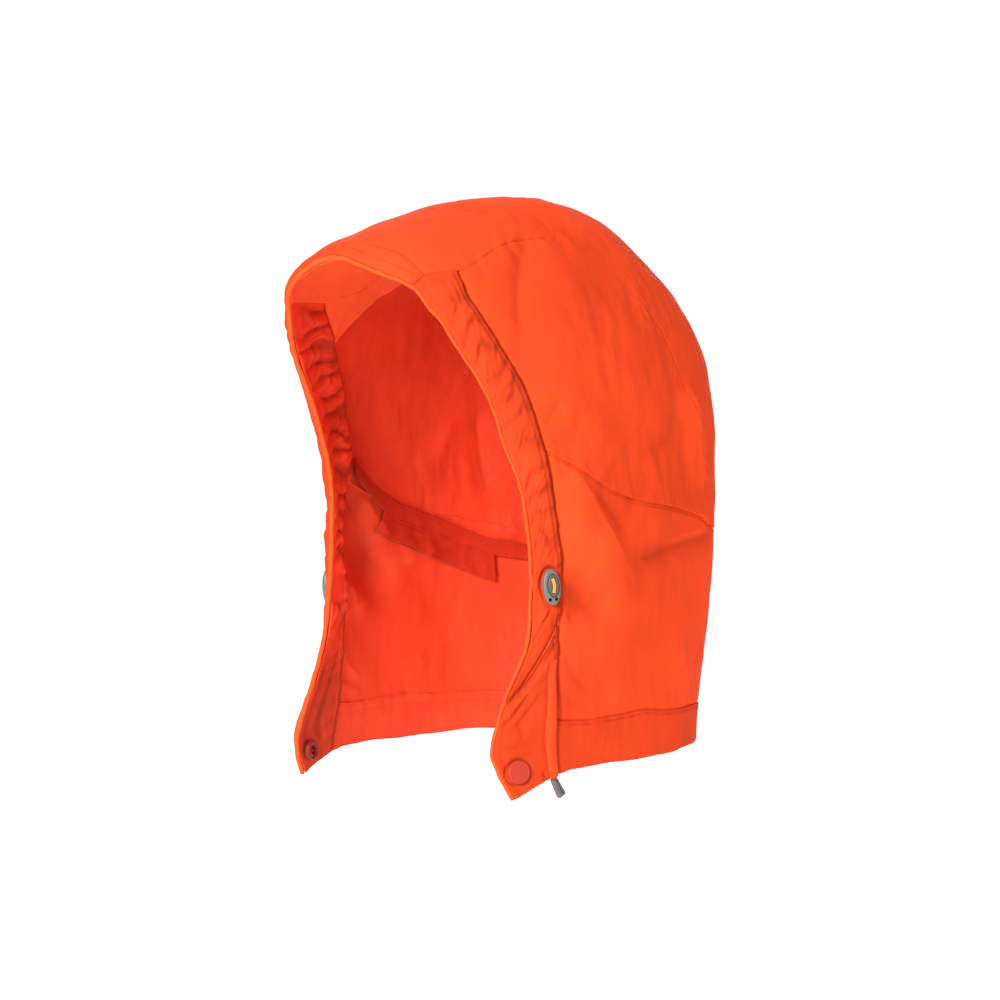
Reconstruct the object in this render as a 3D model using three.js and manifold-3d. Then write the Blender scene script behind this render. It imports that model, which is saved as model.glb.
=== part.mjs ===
// Detachable drawstring hood for a jacket, shown as it is worn.
// Millimetres, +Z up. The face opening looks along -Y and the wearer's left is +X.
// The origin is inside the crown, where the top of the head seats.
import * as THREE from 'three';
import Module from 'manifold-3d';

// The hood's main sizes
const HOOD_HEIGHT = 342;
const HOOD_WIDTH = 212;
const HOOD_DEPTH = 250;

// Cloth
const CLOTH = 1.6;
const TURNED_CLOTH = 1.0;
const TAPE = 0.8;
const CASING_RISE = 0.4;
const PEAK_RISE = 1.0;
const HEM_RISE = 1.0;
const GAP = 0.4;
const LAYER_GAP = 1.1;
const INSIDE = -(CLOTH + LAYER_GAP);
const TAPE_DROP = 0.7;
const TAPE_INSIDE = INSIDE - TAPE_DROP;
const PUCKER_PITCH = 15;
const PUCKER_DEPTH = 1.3;
const GATHER_PITCH = 17;
const GATHER_DEPTH = 1.5;

// Rolled edge round the face opening: half its width and half its height
const BINDING_WIDE = 1.5;
const BINDING_HIGH = 2.0;

// Hardware
const SNAP_CAP = 14;
const SNAP_CAP_HEIGHT = 1.8;
const SNAP_SOCKET = 12.6;
const SNAP_SOCKET_HEIGHT = 2.6;
const SNAP_SOCKET_BORE = 5.4;
const SNAP_SOCKET_FLOOR = 0.8;
const SNAP_STUD = 2.2;
const SNAP_SOCKET_DROP = 0.9;
const LOCK_LENGTH = 20.6;
const LOCK_WIDTH = 11;
const LOCK_HEIGHT = 3.9;
const LOCK_FLOOR = 1.0;
const LOCK_ROUND = 1.2;
const LOCK_TILT = 5;
const BUTTON_LENGTH = 12.6;
const BUTTON_WIDTH = 6.3;
const BUTTON_SHIFT = 0.7;
const BUTTON_TRAVEL = 1.2;
const BUTTON_PROUD = 0.6;
const BUTTON_CLEARANCE = 0.4;
const BAR_LENGTH = 8.2;
const BAR_WIDTH = 1.9;
const BAR_DEPTH = 0.9;
const CORD_HOLE = 1.8;
const CORD_END_LENGTH = 12.2;
const CORD_END_WIDTH = 5.6;
const CORD_END_DEPTH = 3.6;
const CORD_END_LEAN = 30;
const CORD_END_DROP = 1;
const CORD_END_REST = 0.3;

// The body's cross sections. up runs from 0 at the hem to 1 at the crown, wide is a share of half the
// hood's width, middle, fore and aft are shares of its depth: where the section is widest, and how
// far it reaches forward and back of there. A squareness of 2 is an ellipse.
const SECTIONS = [
  { up: -0.07, wide: 0.98, middle: -0.024, fore: 0.608, aft: 0.44, foreSquare: 3.0, aftSquare: 2.2 },
  { up: 0.0, wide: 0.98, middle: -0.024, fore: 0.588, aft: 0.45, foreSquare: 3.0, aftSquare: 2.2 },
  { up: 0.15, wide: 0.99, middle: -0.04, fore: 0.46, aft: 0.506, foreSquare: 3.0, aftSquare: 2.2 },
  { up: 0.27, wide: 1.0, middle: -0.048, fore: 0.4, aft: 0.55, foreSquare: 3.0, aftSquare: 2.2 },
  { up: 0.385, wide: 1.0, middle: -0.056, fore: 0.372, aft: 0.592, foreSquare: 3.0, aftSquare: 2.2 },
  { up: 0.5, wide: 0.99, middle: -0.064, fore: 0.37, aft: 0.615, foreSquare: 3.0, aftSquare: 2.2 },
  { up: 0.62, wide: 0.97, middle: -0.064, fore: 0.456, aft: 0.632, foreSquare: 2.9, aftSquare: 2.2 },
  { up: 0.74, wide: 0.945, middle: -0.056, fore: 0.625, aft: 0.64, foreSquare: 2.7, aftSquare: 2.15 },
  { up: 0.855, wide: 0.915, middle: -0.048, fore: 0.73, aft: 0.608, foreSquare: 2.5, aftSquare: 2.1 },
  { up: 0.925, wide: 0.895, middle: -0.024, fore: 0.68, aft: 0.545, foreSquare: 2.2, aftSquare: 2.0 },
  { up: 1.0, wide: 0.885, middle: 0.0, fore: 0.56, aft: 0.48, foreSquare: 2.1, aftSquare: 2.0 },
];
const SHOULDER = 0.5;
const CROWN_ROUND = 2.4;

// Lines on the body, down the wearer's left side. turn is in degrees round from the middle of the
// face opening: 90 is the side of the head and 180 the back of the neck. A mark names the row where
// another line meets this one.
const OPENING = [
  { up: 0.854, turn: 0 },
  { up: 0.842, turn: 14 },
  { up: 0.819, turn: 26 },
  { up: 0.79, turn: 37, mark: 'peak' },
  { up: 0.754, turn: 40 },
  { up: 0.728, turn: 42 },
  { up: 0.661, turn: 43.1 },
  { up: 0.599, turn: 43.8 },
  { up: 0.532, turn: 43.8 },
  { up: 0.468, turn: 46.2 },
  { up: 0.386, turn: 48.5 },
  { up: 0.269, turn: 50.3 },
  { up: 0.205, turn: 50.8 },
  { up: 0.123, turn: 48.4 },
  { up: 0.07, turn: 48.3 },
  { up: 0.032, turn: 49 },
  { up: 0.01, turn: 50.6 },
  { up: -0.04, turn: 55.2 },
];

const CROWN_SEAM = [
  { up: 0.79, turn: 37 },
  { up: 0.803, turn: 40, mark: 'peak' },
  { up: 0.808, turn: 44 },
  { up: 0.814, turn: 48.4, mark: 'casing' },
  { up: 0.823, turn: 51.5 },
  { up: 0.84, turn: 55 },
  { up: 0.864, turn: 59 },
  { up: 0.887, turn: 66 },
  { up: 0.89, turn: 77 },
  { up: 0.876, turn: 88, mark: 'turn' },
  { up: 0.838, turn: 98 },
  { up: 0.775, turn: 106 },
  { up: 0.71, turn: 110 },
  { up: 0.646, turn: 113 },
  { up: 0.562, turn: 119 },
  { up: 0.41, turn: 128 },
];

const PEAK_SEAM = [
  { up: 0.871, turn: 0 },
  { up: 0.868, turn: 10 },
  { up: 0.859, turn: 22 },
  { up: 0.845, turn: 32 },
  { up: 0.822, turn: 37.6 },
  { up: 0.803, turn: 40 },
];

const CASING_SEAM = [
  { up: 0.814, turn: 48.4 },
  { up: 0.768, turn: 49.6 },
  { up: 0.709, turn: 52 },
  { up: 0.644, turn: 53.4 },
  { up: 0.601, turn: 53.6 },
  { up: 0.525, turn: 53.8, mark: 'cross' },
  { up: 0.449, turn: 54.6 },
  { up: 0.385, turn: 56.2 },
  { up: 0.344, turn: 57.3 },
  { up: 0.245, turn: 58.2 },
  { up: 0.173, turn: 59.2 },
  { up: 0.08, turn: 62, mark: 'band' },
  { up: -0.007, turn: 64.4 },
];

const CROSS_SEAM = [
  { up: 0.525, turn: 53.8 },
  { up: 0.51, turn: 59 },
  { up: 0.492, turn: 66 },
  { up: 0.476, turn: 73 },
  { up: 0.462, turn: 80 },
  { up: 0.453, turn: 87 },
  { up: 0.445, turn: 94 },
  { up: 0.439, turn: 103 },
  { up: 0.432, turn: 111 },
  { up: 0.422, turn: 119 },
  { up: 0.41, turn: 128, mark: 'crown' },
  { up: 0.404, turn: 150 },
  { up: 0.402, turn: 180 },
];

const BAND_TOP = [
  { up: 0.08, turn: 62 },
  { up: 0.077, turn: 70 },
  { up: 0.082, turn: 82 },
  { up: 0.086, turn: 96 },
  { up: 0.086, turn: 122 },
  { up: 0.085, turn: 150 },
  { up: 0.085, turn: 180 },
];
const HEM = [
  { up: -0.007, turn: 64.4 },
  { up: 0.0, turn: 70 },
  { up: 0.005, turn: 82 },
  { up: 0.0085, turn: 100 },
  { up: 0.0145, turn: 122 },
  { up: 0.0145, turn: 150 },
  { up: 0.014, turn: 180 },
];
const FLAP_HEM = [
  { up: -0.04, turn: 55.2 },
  { up: -0.028, turn: 58 },
  { up: -0.018, turn: 60.6 },
  { up: -0.007, turn: 64.4 },
];

// Lines inside the hood
const FACING_TOP = [
  { up: 0.79, turn: 37 },
  { up: 0.812, turn: 57.5 },
];
const FACING_SEAM = [
  { up: 0.812, turn: 57.5 },
  { up: 0.745, turn: 62.5 },
  { up: 0.707, turn: 65 },
  { up: 0.609, turn: 67 },
  { up: 0.467, turn: 64.5 },
  { up: 0.348, turn: 61.5 },
  { up: 0.271, turn: 61 },
  { up: 0.151, turn: 62.5 },
  { up: 0.081, turn: 64 },
  { up: -0.007, turn: 64.4 },
];
const FACING_CROWN = 1;
const LINING_SEAM = [
  { up: 0.984, turn: 0 },
  { up: 0.975, turn: 40 },
  { up: 0.945, turn: 61 },
  { up: 0.91, turn: 70 },
  { up: 0.873, turn: 70.2 },
  { up: 0.839, turn: 64.4 },
  { up: 0.812, turn: 57.5 },
];
const CROWN_FACING_EDGE = [
  { up: 0.998, turn: 0 },
  { up: 0.988, turn: 68 },
  { up: 0.95, turn: 80 },
  { up: 0.905, turn: 83 },
  { up: 0.867, turn: 79 },
  { up: 0.82, turn: 72.4 },
  { up: 0.78, turn: 67.6 },
  { up: 0.745, turn: 62.5 },
];
const TAPE_TOP = [
  { up: 0.54, turn: 67.5 },
  { up: 0.517, turn: 71.5 },
  { up: 0.492, turn: 76 },
  { up: 0.472, turn: 83 },
  { up: 0.45, turn: 94 },
  { up: 0.434, turn: 102 },
  { up: 0.415, turn: 110 },
  { up: 0.389, turn: 121.5 },
  { up: 0.372, turn: 138 },
  { up: 0.362, turn: 180 },
];
const TAPE_LOW = [
  { up: 0.509, turn: 67 },
  { up: 0.486, turn: 71 },
  { up: 0.462, turn: 75.5 },
  { up: 0.443, turn: 81, mark: 'patch' },
  { up: 0.419, turn: 94 },
  { up: 0.403, turn: 102 },
  { up: 0.384, turn: 110 },
  { up: 0.358, turn: 121.5, mark: 'patch end' },
  { up: 0.341, turn: 138 },
  { up: 0.331, turn: 180 },
];
const PATCH_LOW = [
  { up: 0.4, turn: 77 },
  { up: 0.38, turn: 91 },
  { up: 0.353, turn: 101 },
  { up: 0.333, turn: 110 },
  { up: 0.303, turn: 122.5 },
];

// Folds in the cloth: where each starts and ends, its half width and its height in mm, negative
// for a crease.
const FOLDS = [
  { up: 0.394, turn: 124, upEnd: 0.349, turnEnd: 92, spread: 9, rise: -2.0 },
  { up: 0.422, turn: 120, upEnd: 0.396, turnEnd: 98, spread: 11, rise: 1.6 },
  { up: 0.504, turn: 60, upEnd: 0.424, turnEnd: 71, spread: 9, rise: -2.0 },
  { up: 0.424, turn: 71, upEnd: 0.304, turnEnd: 91, spread: 9, rise: -2.0 },
  { up: 0.4, turn: 66, upEnd: 0.28, turnEnd: 80, spread: 13, rise: 2.8 },
  { up: 0.292, turn: 63, upEnd: 0.27, turnEnd: 70, spread: 10, rise: -3.4 },
  { up: 0.874, turn: 66, upEnd: 0.69, turnEnd: 59, spread: 9, rise: -1.3 },
  { up: 0.62, turn: 62, upEnd: 0.56, turnEnd: 76, spread: 12, rise: 1.2 },
  { up: 0.22, turn: 64, upEnd: 0.13, turnEnd: 74, spread: 11, rise: -1.4 },
  { up: 0.25, turn: 106, upEnd: 0.11, turnEnd: 112, spread: 15, rise: 1.5 },
];

// Places of the hardware on the body
const LOCK_PLACE = { up: 0.299, turn: 54.3 };
const SNAP_PLACE = { up: 0.0, turn: 54.8 };
const CORD_END_PLACE = { up: -0.009, turn: 63.4 };
const CORD_END_TUCKED = { up: 0.052, turn: 61.4 };
const TUNNEL_FROM = 0.73;
const TUNNEL_TO = 0.98;
const TUNNEL_TOP = 0.77;
const TUNNEL_THICK = 1.2;

// Colours, roughness and metalness
const SHELL = { color: 0xf4501e, roughness: 0.82, metalness: 0 };
const SHELL_DEEP = { color: 0xe0441c, roughness: 0.84, metalness: 0 };
const LINING = { color: 0xd63a22, roughness: 0.86, metalness: 0 };
const TAPE_CLOTH = { color: 0xa82018, roughness: 0.85, metalness: 0 };
const EDGE = { color: 0xff6e37, roughness: 0.8, metalness: 0 };
const SNAP = { color: 0xe14b37, roughness: 0.5, metalness: 0 };
const GREY = { color: 0x8c8480, roughness: 0.5, metalness: 0.1 };
const DARK_GREY = { color: 0x4c4a4a, roughness: 0.55, metalness: 0.05 };
const BAR = { color: 0xf0a55f, roughness: 0.5, metalness: 0 };
const TAB = { color: 0x6b6668, roughness: 0.5, metalness: 0.05 };

const DEGREE = Math.PI / 180;
const wasm = await Module();
wasm.setup();

// A smooth curve through rows of numbers, read at a place along keys.
function smooth(keys, rows) {
  const step = (i, c) => (rows[i + 1][c] - rows[i][c]) / (keys[i + 1] - keys[i]);
  const last = keys.length - 1;
  const slope = (i, c) => {
    if (i === 0) return step(0, c);
    return i === last ? step(last - 1, c) : (step(i - 1, c) + step(i, c)) / 2;
  };
  const slopes = rows.map((row, i) => row.map((_, c) => slope(i, c)));
  return (at) => {
    const x = THREE.MathUtils.clamp(at, keys[0], keys[last]);
    let i = 0;
    while (i < last - 1 && x >= keys[i + 1]) i += 1;
    const wide = keys[i + 1] - keys[i];
    const t = (x - keys[i]) / wide;
    const rise = t * t * (3 - 2 * t);
    const leave = wide * t * (1 - t) * (1 - t);
    const arrive = wide * t * t * (t - 1);
    return rows[i].map((value, c) => (
      value * (1 - rise) + rows[i + 1][c] * rise + slopes[i][c] * leave + slopes[i + 1][c] * arrive
    ));
  };
}

const sectionAt = smooth(
  SECTIONS.map((row) => row.up),
  SECTIONS.map((row) => [row.wide, row.middle, row.fore, row.aft, row.foreSquare, row.aftSquare]),
);

// A way is a unit vector from the middle of the head. Above the shoulder it points at a height by its
// sine, and below it by its tangent.
function way(up, turn) {
  const lift = (up - SHOULDER) / SHOULDER;
  const level = up >= SHOULDER ? Math.sqrt(1 - lift * lift) : 1;
  const round = (turn - 90) * DEGREE;
  return new THREE.Vector3(level * Math.cos(round), level * Math.sin(round), lift).normalize();
}

function bodyPoint(toward) {
  const level = Math.max(Math.hypot(toward.x, toward.y), 1e-6);
  const share = toward.z >= 0 ? toward.z : toward.z / level;
  const up = SHOULDER + SHOULDER * share;
  const [wide, middle, fore, aft, foreSquare, aftSquare] = sectionAt(up);
  const close = (1 - Math.min(Math.max(share, 0), 0.99999) ** CROWN_ROUND) ** (1 / CROWN_ROUND);
  const across = toward.x / level;
  const along = toward.y / level;
  const square = along < 0 ? foreSquare : aftSquare;
  const reach = close * (Math.abs(across) ** square + Math.abs(along) ** square) ** (-1 / square);
  return new THREE.Vector3(
    (HOOD_WIDTH / 2) * wide * reach * across,
    HOOD_DEPTH * (middle + (along < 0 ? fore : aft) * reach * along),
    CLOTH - HOOD_HEIGHT * (1 - up),
  );
}

function bodyNormal(toward) {
  const level = Math.hypot(toward.x, toward.y);
  const east = level > 0.05 ? new THREE.Vector3(-toward.y, toward.x, 0) : new THREE.Vector3(1, 0, 0);
  east.normalize();
  const north = toward.clone().cross(east);
  const nudged = (by, much) => bodyPoint(toward.clone().addScaledVector(by, much).normalize());
  const alongEast = nudged(east, 0.01).sub(nudged(east, -0.01));
  const alongNorth = nudged(north, 0.01).sub(nudged(north, -0.01));
  const normal = alongEast.cross(alongNorth).normalize();
  return normal.dot(toward) < 0 ? normal.negate() : normal;
}

const folds = FOLDS.map((row) => {
  const line = [];
  for (let i = 0; i <= 6; i += 1) {
    const up = THREE.MathUtils.lerp(row.up, row.upEnd, i / 6);
    line.push(bodyPoint(way(up, THREE.MathUtils.lerp(row.turn, row.turnEnd, i / 6))));
  }
  return { ...row, line };
});

function foldRise(point) {
  const place = point.clone().setX(Math.abs(point.x));
  const nearest = new THREE.Vector3();
  let rise = 0;
  folds.forEach((fold) => {
    let near = Infinity;
    for (let i = 1; i < fold.line.length; i += 1) {
      const span = new THREE.Line3(fold.line[i - 1], fold.line[i]);
      span.closestPointToPoint(place, true, nearest);
      near = Math.min(near, nearest.distanceTo(place));
    }
    rise += fold.rise * Math.exp(-((near / fold.spread) ** 2));
  });
  return rise;
}

// The point of the folded cloth in that way, lifted off the outside by so much.
function clothPoint(toward, lift) {
  const point = bodyPoint(toward);
  return point.addScaledVector(bodyNormal(toward), foldRise(point) + lift);
}

const rowOf = (rows, mark) => rows.findIndex((row) => row.mark === mark);
const PEAK_END = rowOf(OPENING, 'peak');
const CROWN_SEAM_PEAK = rowOf(CROWN_SEAM, 'peak');
const CROWN_SEAM_CASING = rowOf(CROWN_SEAM, 'casing');
const CROWN_SEAM_TURN = rowOf(CROWN_SEAM, 'turn');
const CASING_CROSS = rowOf(CASING_SEAM, 'cross');
const CASING_BAND = rowOf(CASING_SEAM, 'band');
const CROSS_CROWN = rowOf(CROSS_SEAM, 'crown');
const TAPE_PATCH = rowOf(TAPE_LOW, 'patch');
const TAPE_PATCH_END = rowOf(TAPE_LOW, 'patch end');

// A line through rows of up and turn, read by the row's number.
function line(rows) {
  const at = smooth(rows.map((_, i) => i), rows.map((row) => way(row.up, row.turn).toArray()));
  return (index) => new THREE.Vector3(...at(index)).normalize();
}

// The piece of a line between two rows, read from 0 to 1 by its length.
function cut(read, from, to) {
  const parts = 160;
  const lengths = [0];
  let before = bodyPoint(read(from));
  for (let i = 1; i <= parts; i += 1) {
    const next = bodyPoint(read(from + ((to - from) * i) / parts));
    lengths.push(lengths[i - 1] + next.distanceTo(before));
    before = next;
  }
  const whole = lengths[parts];
  const piece = (share) => {
    const goal = THREE.MathUtils.clamp(share, 0, 1) * whole;
    let i = 1;
    while (i < parts && lengths[i] < goal) i += 1;
    const part = i - 1 + (goal - lengths[i - 1]) / (lengths[i] - lengths[i - 1]);
    return read(from + ((to - from) * part) / parts);
  };
  piece.whole = whole;
  return piece;
}

const mirrored = (toward) => new THREE.Vector3(-toward.x, toward.y, toward.z);
const mirror = (piece) => Object.assign((share) => mirrored(piece(share)), { whole: piece.whole });

// A table's rows carried on to the wearer's right side. centreFirst says that its first row is the
// one in the middle, and otherwise the last one is.
function bothSides(rows, centreFirst) {
  const left = centreFirst ? [...rows].reverse() : rows;
  const right = [...left].reverse().slice(1);
  const round = (row) => ({ up: row.up, turn: (centreFirst ? 0 : 360) - row.turn });
  return line([...left, ...right.map(round)]);
}

const opening = line(OPENING);
const openingArch = bothSides(OPENING, true);
const openingEnd = OPENING.length - 1;
const crownSeam = line(CROWN_SEAM);
const peakSeam = bothSides(PEAK_SEAM, true);
const casingSeam = line(CASING_SEAM);
const crossSeam = bothSides(CROSS_SEAM, false);
const crossEnd = 2 * (CROSS_SEAM.length - 1);
const bandTop = bothSides(BAND_TOP, false);
const hem = bothSides(HEM, false);
const bandEnd = 2 * (BAND_TOP.length - 1);
const flapHem = line(FLAP_HEM);
const facingTop = line(FACING_TOP);
const facingSeam = line(FACING_SEAM);
const liningSeam = bothSides(LINING_SEAM, true);
const crownFacingEdge = bothSides(CROWN_FACING_EDGE, true);
const tapeTop = bothSides(TAPE_TOP, false);
const tapeLow = bothSides(TAPE_LOW, false);
const tapeEnd = 2 * (TAPE_TOP.length - 1);
const patchLow = line(PATCH_LOW);

// A patch of the body between four lines: first and last run along u, start and end along v.
function patch(first, last, start, end) {
  const corners = [first(0), first(1), last(0), last(1)];
  const at = (u, v) => {
    const sum = first(u).multiplyScalar(1 - v).addScaledVector(last(u), v);
    sum.addScaledVector(start(v), 1 - u).addScaledVector(end(v), u);
    sum.addScaledVector(corners[0], -(1 - u) * (1 - v)).addScaledVector(corners[1], -u * (1 - v));
    sum.addScaledVector(corners[2], -(1 - u) * v).addScaledVector(corners[3], -u * v);
    return sum.normalize();
  };
  const wide = (v) => {
    let sum = 0;
    for (let i = 1; i <= 8; i += 1) {
      sum += bodyPoint(at((i - 1) / 8, v)).distanceTo(bodyPoint(at(i / 8, v)));
    }
    return sum;
  };
  const long = (u) => {
    let sum = 0;
    for (let i = 1; i <= 8; i += 1) {
      sum += bodyPoint(at(u, (i - 1) / 8)).distanceTo(bodyPoint(at(u, i / 8)));
    }
    return sum;
  };
  return { at, wide, long };
}

const mirrorPatch = (area) => ({
  at: (u, v) => mirrored(area.at(u, v)),
  wide: area.wide,
  long: area.long,
});

// A closed solid from points and triangles, turned to face out.
function solid(points, faces) {
  const corner = [new THREE.Vector3(), new THREE.Vector3()];
  let volume = 0;
  faces.forEach(([a, b, c]) => {
    corner[0].crossVectors(points[b], points[c]);
    volume += points[a].dot(corner[0]);
  });
  const turned = volume < 0 ? faces.map(([a, b, c]) => [a, c, b]) : faces;
  const geometry = new THREE.BufferGeometry();
  const positions = points.flatMap((point) => point.toArray());
  geometry.setAttribute('position', new THREE.Float32BufferAttribute(positions, 3));
  geometry.setIndex(turned.flat());
  geometry.computeVertexNormals();
  return geometry;
}

// Even steps from 0 to 1, or several runs of even steps that meet at given shares.
function steps(...runs) {
  const list = [0];
  let from = 0;
  runs.forEach(([count, to]) => {
    for (let i = 1; i <= count; i += 1) list.push(from + ((to - from) * i) / count);
    from = to;
  });
  return list;
}
const even = (count) => steps([count, 1]);

// A cloth piece over a patch, with its cells' corners at the given shares across and along. outer and
// inner give its two faces' lift off the body's outside.
function sheet(area, acrossSteps, alongSteps, outer, inner) {
  const points = [];
  const across = acrossSteps.length - 1;
  const along = alongSteps.length - 1;
  const inset = GAP / 2;
  for (let layer = 0; layer < 2; layer += 1) {
    for (let j = 0; j <= along; j += 1) {
      for (let i = 0; i <= across; i += 1) {
        const flatU = acrossSteps[i];
        const flatV = alongSteps[j];
        const trimU = inset / area.wide(flatV);
        const trimV = inset / area.long(flatU);
        const u = Math.min(trimU, 0.4) * (1 - 2 * flatU) + flatU;
        const v = Math.min(trimV, 0.4) * (1 - 2 * flatV) + flatV;
        const toward = area.at(u, v);
        const lift = layer === 0 ? outer(u, v, toward) : inner(u, v, toward);
        points.push(clothPoint(toward, lift));
      }
    }
  }
  const row = across + 1;
  const under = row * (along + 1);
  const faces = [];
  const quad = (a, b, c, d) => faces.push([a, b, c], [a, c, d]);
  for (let j = 0; j < along; j += 1) {
    for (let i = 0; i < across; i += 1) {
      const a = j * row + i;
      quad(a, a + 1, a + row + 1, a + row);
      quad(under + a, under + a + row, under + a + row + 1, under + a + 1);
    }
  }
  for (let i = 0; i < across; i += 1) {
    const end = along * row + i;
    quad(i + 1, i, under + i, under + i + 1);
    quad(end, end + 1, under + end + 1, under + end);
  }
  for (let j = 0; j < along; j += 1) {
    const a = j * row;
    const b = a + across;
    quad(a, a + row, under + a + row, under + a);
    quad(b + row, b, under + b, under + b + row);
  }
  return solid(points, faces);
}

const level = (lift) => () => lift;

// The patches of the body
const crownArea = patch(
  cut(peakSeam, 0, 2 * (PEAK_SEAM.length - 1)),
  cut(crossSeam, CROSS_CROWN, crossEnd - CROSS_CROWN),
  cut(crownSeam, CROWN_SEAM_PEAK, CROWN_SEAM.length - 1),
  mirror(cut(crownSeam, CROWN_SEAM_PEAK, CROWN_SEAM.length - 1)),
);
const sideArea = patch(
  cut(crownSeam, CROWN_SEAM_CASING, CROWN_SEAM_TURN),
  cut(crossSeam, 0, CROSS_CROWN),
  cut(casingSeam, 0, CASING_CROSS),
  cut(crownSeam, CROWN_SEAM_TURN, CROWN_SEAM.length - 1),
);
const neckArea = patch(
  cut(crossSeam, 0, crossEnd),
  cut(bandTop, 0, bandEnd),
  cut(casingSeam, CASING_CROSS, CASING_BAND),
  mirror(cut(casingSeam, CASING_CROSS, CASING_BAND)),
);
const bandArea = patch(
  cut(bandTop, 0, bandEnd),
  cut(hem, 0, bandEnd),
  cut(casingSeam, CASING_BAND, CASING_SEAM.length - 1),
  mirror(cut(casingSeam, CASING_BAND, CASING_SEAM.length - 1)),
);
const archPeak = [openingEnd - PEAK_END, openingEnd + PEAK_END];
const peakArea = patch(
  cut(openingArch, ...archPeak),
  cut(peakSeam, 0, 2 * (PEAK_SEAM.length - 1)),
  cut(crownSeam, 0, CROWN_SEAM_PEAK),
  mirror(cut(crownSeam, 0, CROWN_SEAM_PEAK)),
);
const casingArea = patch(
  cut(crownSeam, 0, CROWN_SEAM_CASING),
  cut(flapHem, 0, FLAP_HEM.length - 1),
  cut(opening, PEAK_END, openingEnd),
  cut(casingSeam, 0, CASING_SEAM.length - 1),
);
const facingArea = patch(
  cut(facingTop, 0, FACING_TOP.length - 1),
  cut(flapHem, 0, FLAP_HEM.length - 1),
  cut(opening, PEAK_END, openingEnd),
  cut(facingSeam, 0, FACING_SEAM.length - 1),
);
const liningEnd = 2 * (LINING_SEAM.length - 1);
const liningArea = patch(
  cut(openingArch, ...archPeak),
  cut(liningSeam, 0, liningEnd),
  cut(facingTop, 0, FACING_TOP.length - 1),
  mirror(cut(facingTop, 0, FACING_TOP.length - 1)),
);
const crownFacingArea = patch(
  cut(liningSeam, 0, liningEnd),
  cut(crownFacingEdge, 0, 2 * (CROWN_FACING_EDGE.length - 1)),
  cut(facingSeam, 0, FACING_CROWN),
  mirror(cut(facingSeam, 0, FACING_CROWN)),
);
const tapeSide = (side) => line([TAPE_TOP[0], TAPE_LOW[0]].map((row) => ({
  up: row.up,
  turn: side * row.turn,
})));
const tapeArea = patch(
  cut(tapeTop, 0, tapeEnd),
  cut(tapeLow, 0, tapeEnd),
  cut(tapeSide(1), 0, 1),
  cut(tapeSide(-1), 0, 1),
);
const patchArea = patch(
  cut(tapeLow, TAPE_PATCH, TAPE_PATCH_END),
  cut(patchLow, 0, PATCH_LOW.length - 1),
  cut(line([TAPE_LOW[TAPE_PATCH], PATCH_LOW[0]]), 0, 1),
  cut(line([TAPE_LOW[TAPE_PATCH_END], PATCH_LOW[PATCH_LOW.length - 1]]), 0, 1),
);

// The cloth lies flat under the hardware, so puckers fade out near it.
const lockCentre = bodyPoint(way(LOCK_PLACE.up, LOCK_PLACE.turn));
const snapCentre = bodyPoint(way(SNAP_PLACE.up, SNAP_PLACE.turn));
function calm(toward) {
  const place = bodyPoint(toward);
  place.x = Math.abs(place.x);
  const nearLock = THREE.MathUtils.smoothstep(place.distanceTo(lockCentre), LOCK_LENGTH / 2, LOCK_LENGTH);
  const nearSnap = THREE.MathUtils.smoothstep(place.distanceTo(snapCentre), SNAP_CAP / 2, SNAP_CAP * 1.4);
  return nearLock * nearSnap;
}

// Puckers run across a casing and lean a little, and fade at its ends and in the flat chin flap.
function puckers(pitch, depth, length, lean) {
  return (u, v, toward) => {
    const phase = (2 * Math.PI * (v * length + lean * u)) / pitch;
    const wander = Math.sin(phase * 0.37 + 1) * 0.8;
    const ends = Math.sin(Math.PI * Math.min(Math.max(v, 0), 1)) ** 0.5;
    const flat = 1 - THREE.MathUtils.smoothstep(v, TUNNEL_TOP - 0.12, TUNNEL_TOP);
    return depth * ends * (0.15 + 0.85 * flat) * calm(toward) * (0.5 + 0.5 * Math.sin(phase + wander));
  };
}
const casingPucker = puckers(PUCKER_PITCH, PUCKER_DEPTH, cut(opening, PEAK_END, openingEnd).whole, 9);
const facingPucker = puckers(GATHER_PITCH, GATHER_DEPTH, cut(opening, PEAK_END, openingEnd).whole, -8);
const casingOuter = (u, v, toward) => {
  const edge = Math.sin(Math.PI * Math.min(Math.max(u, 0), 1));
  const tunnel = v > TUNNEL_TOP - 0.04 && u > TUNNEL_FROM - 0.15 ? 0 : 1;
  return CASING_RISE + edge * tunnel * casingPucker(u, v, toward);
};
const facingInner = (u, v, toward) => {
  const edge = Math.sin(Math.PI * Math.min(Math.max(u, 0), 1)) ** 0.5;
  return INSIDE - TURNED_CLOTH - edge * facingPucker(u, v, toward);
};

// The part of the casing that the cord tunnel covers
const tunnelArea = (() => {
  const at = (u, v) => casingArea.at(
    THREE.MathUtils.lerp(TUNNEL_FROM, TUNNEL_TO, u),
    THREE.MathUtils.lerp(TUNNEL_TOP, 1, v),
  );
  return {
    at,
    wide: (v) => casingArea.wide(v) * (TUNNEL_TO - TUNNEL_FROM),
    long: () => casingArea.long(1) * (1 - TUNNEL_TOP),
  };
})();

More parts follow.
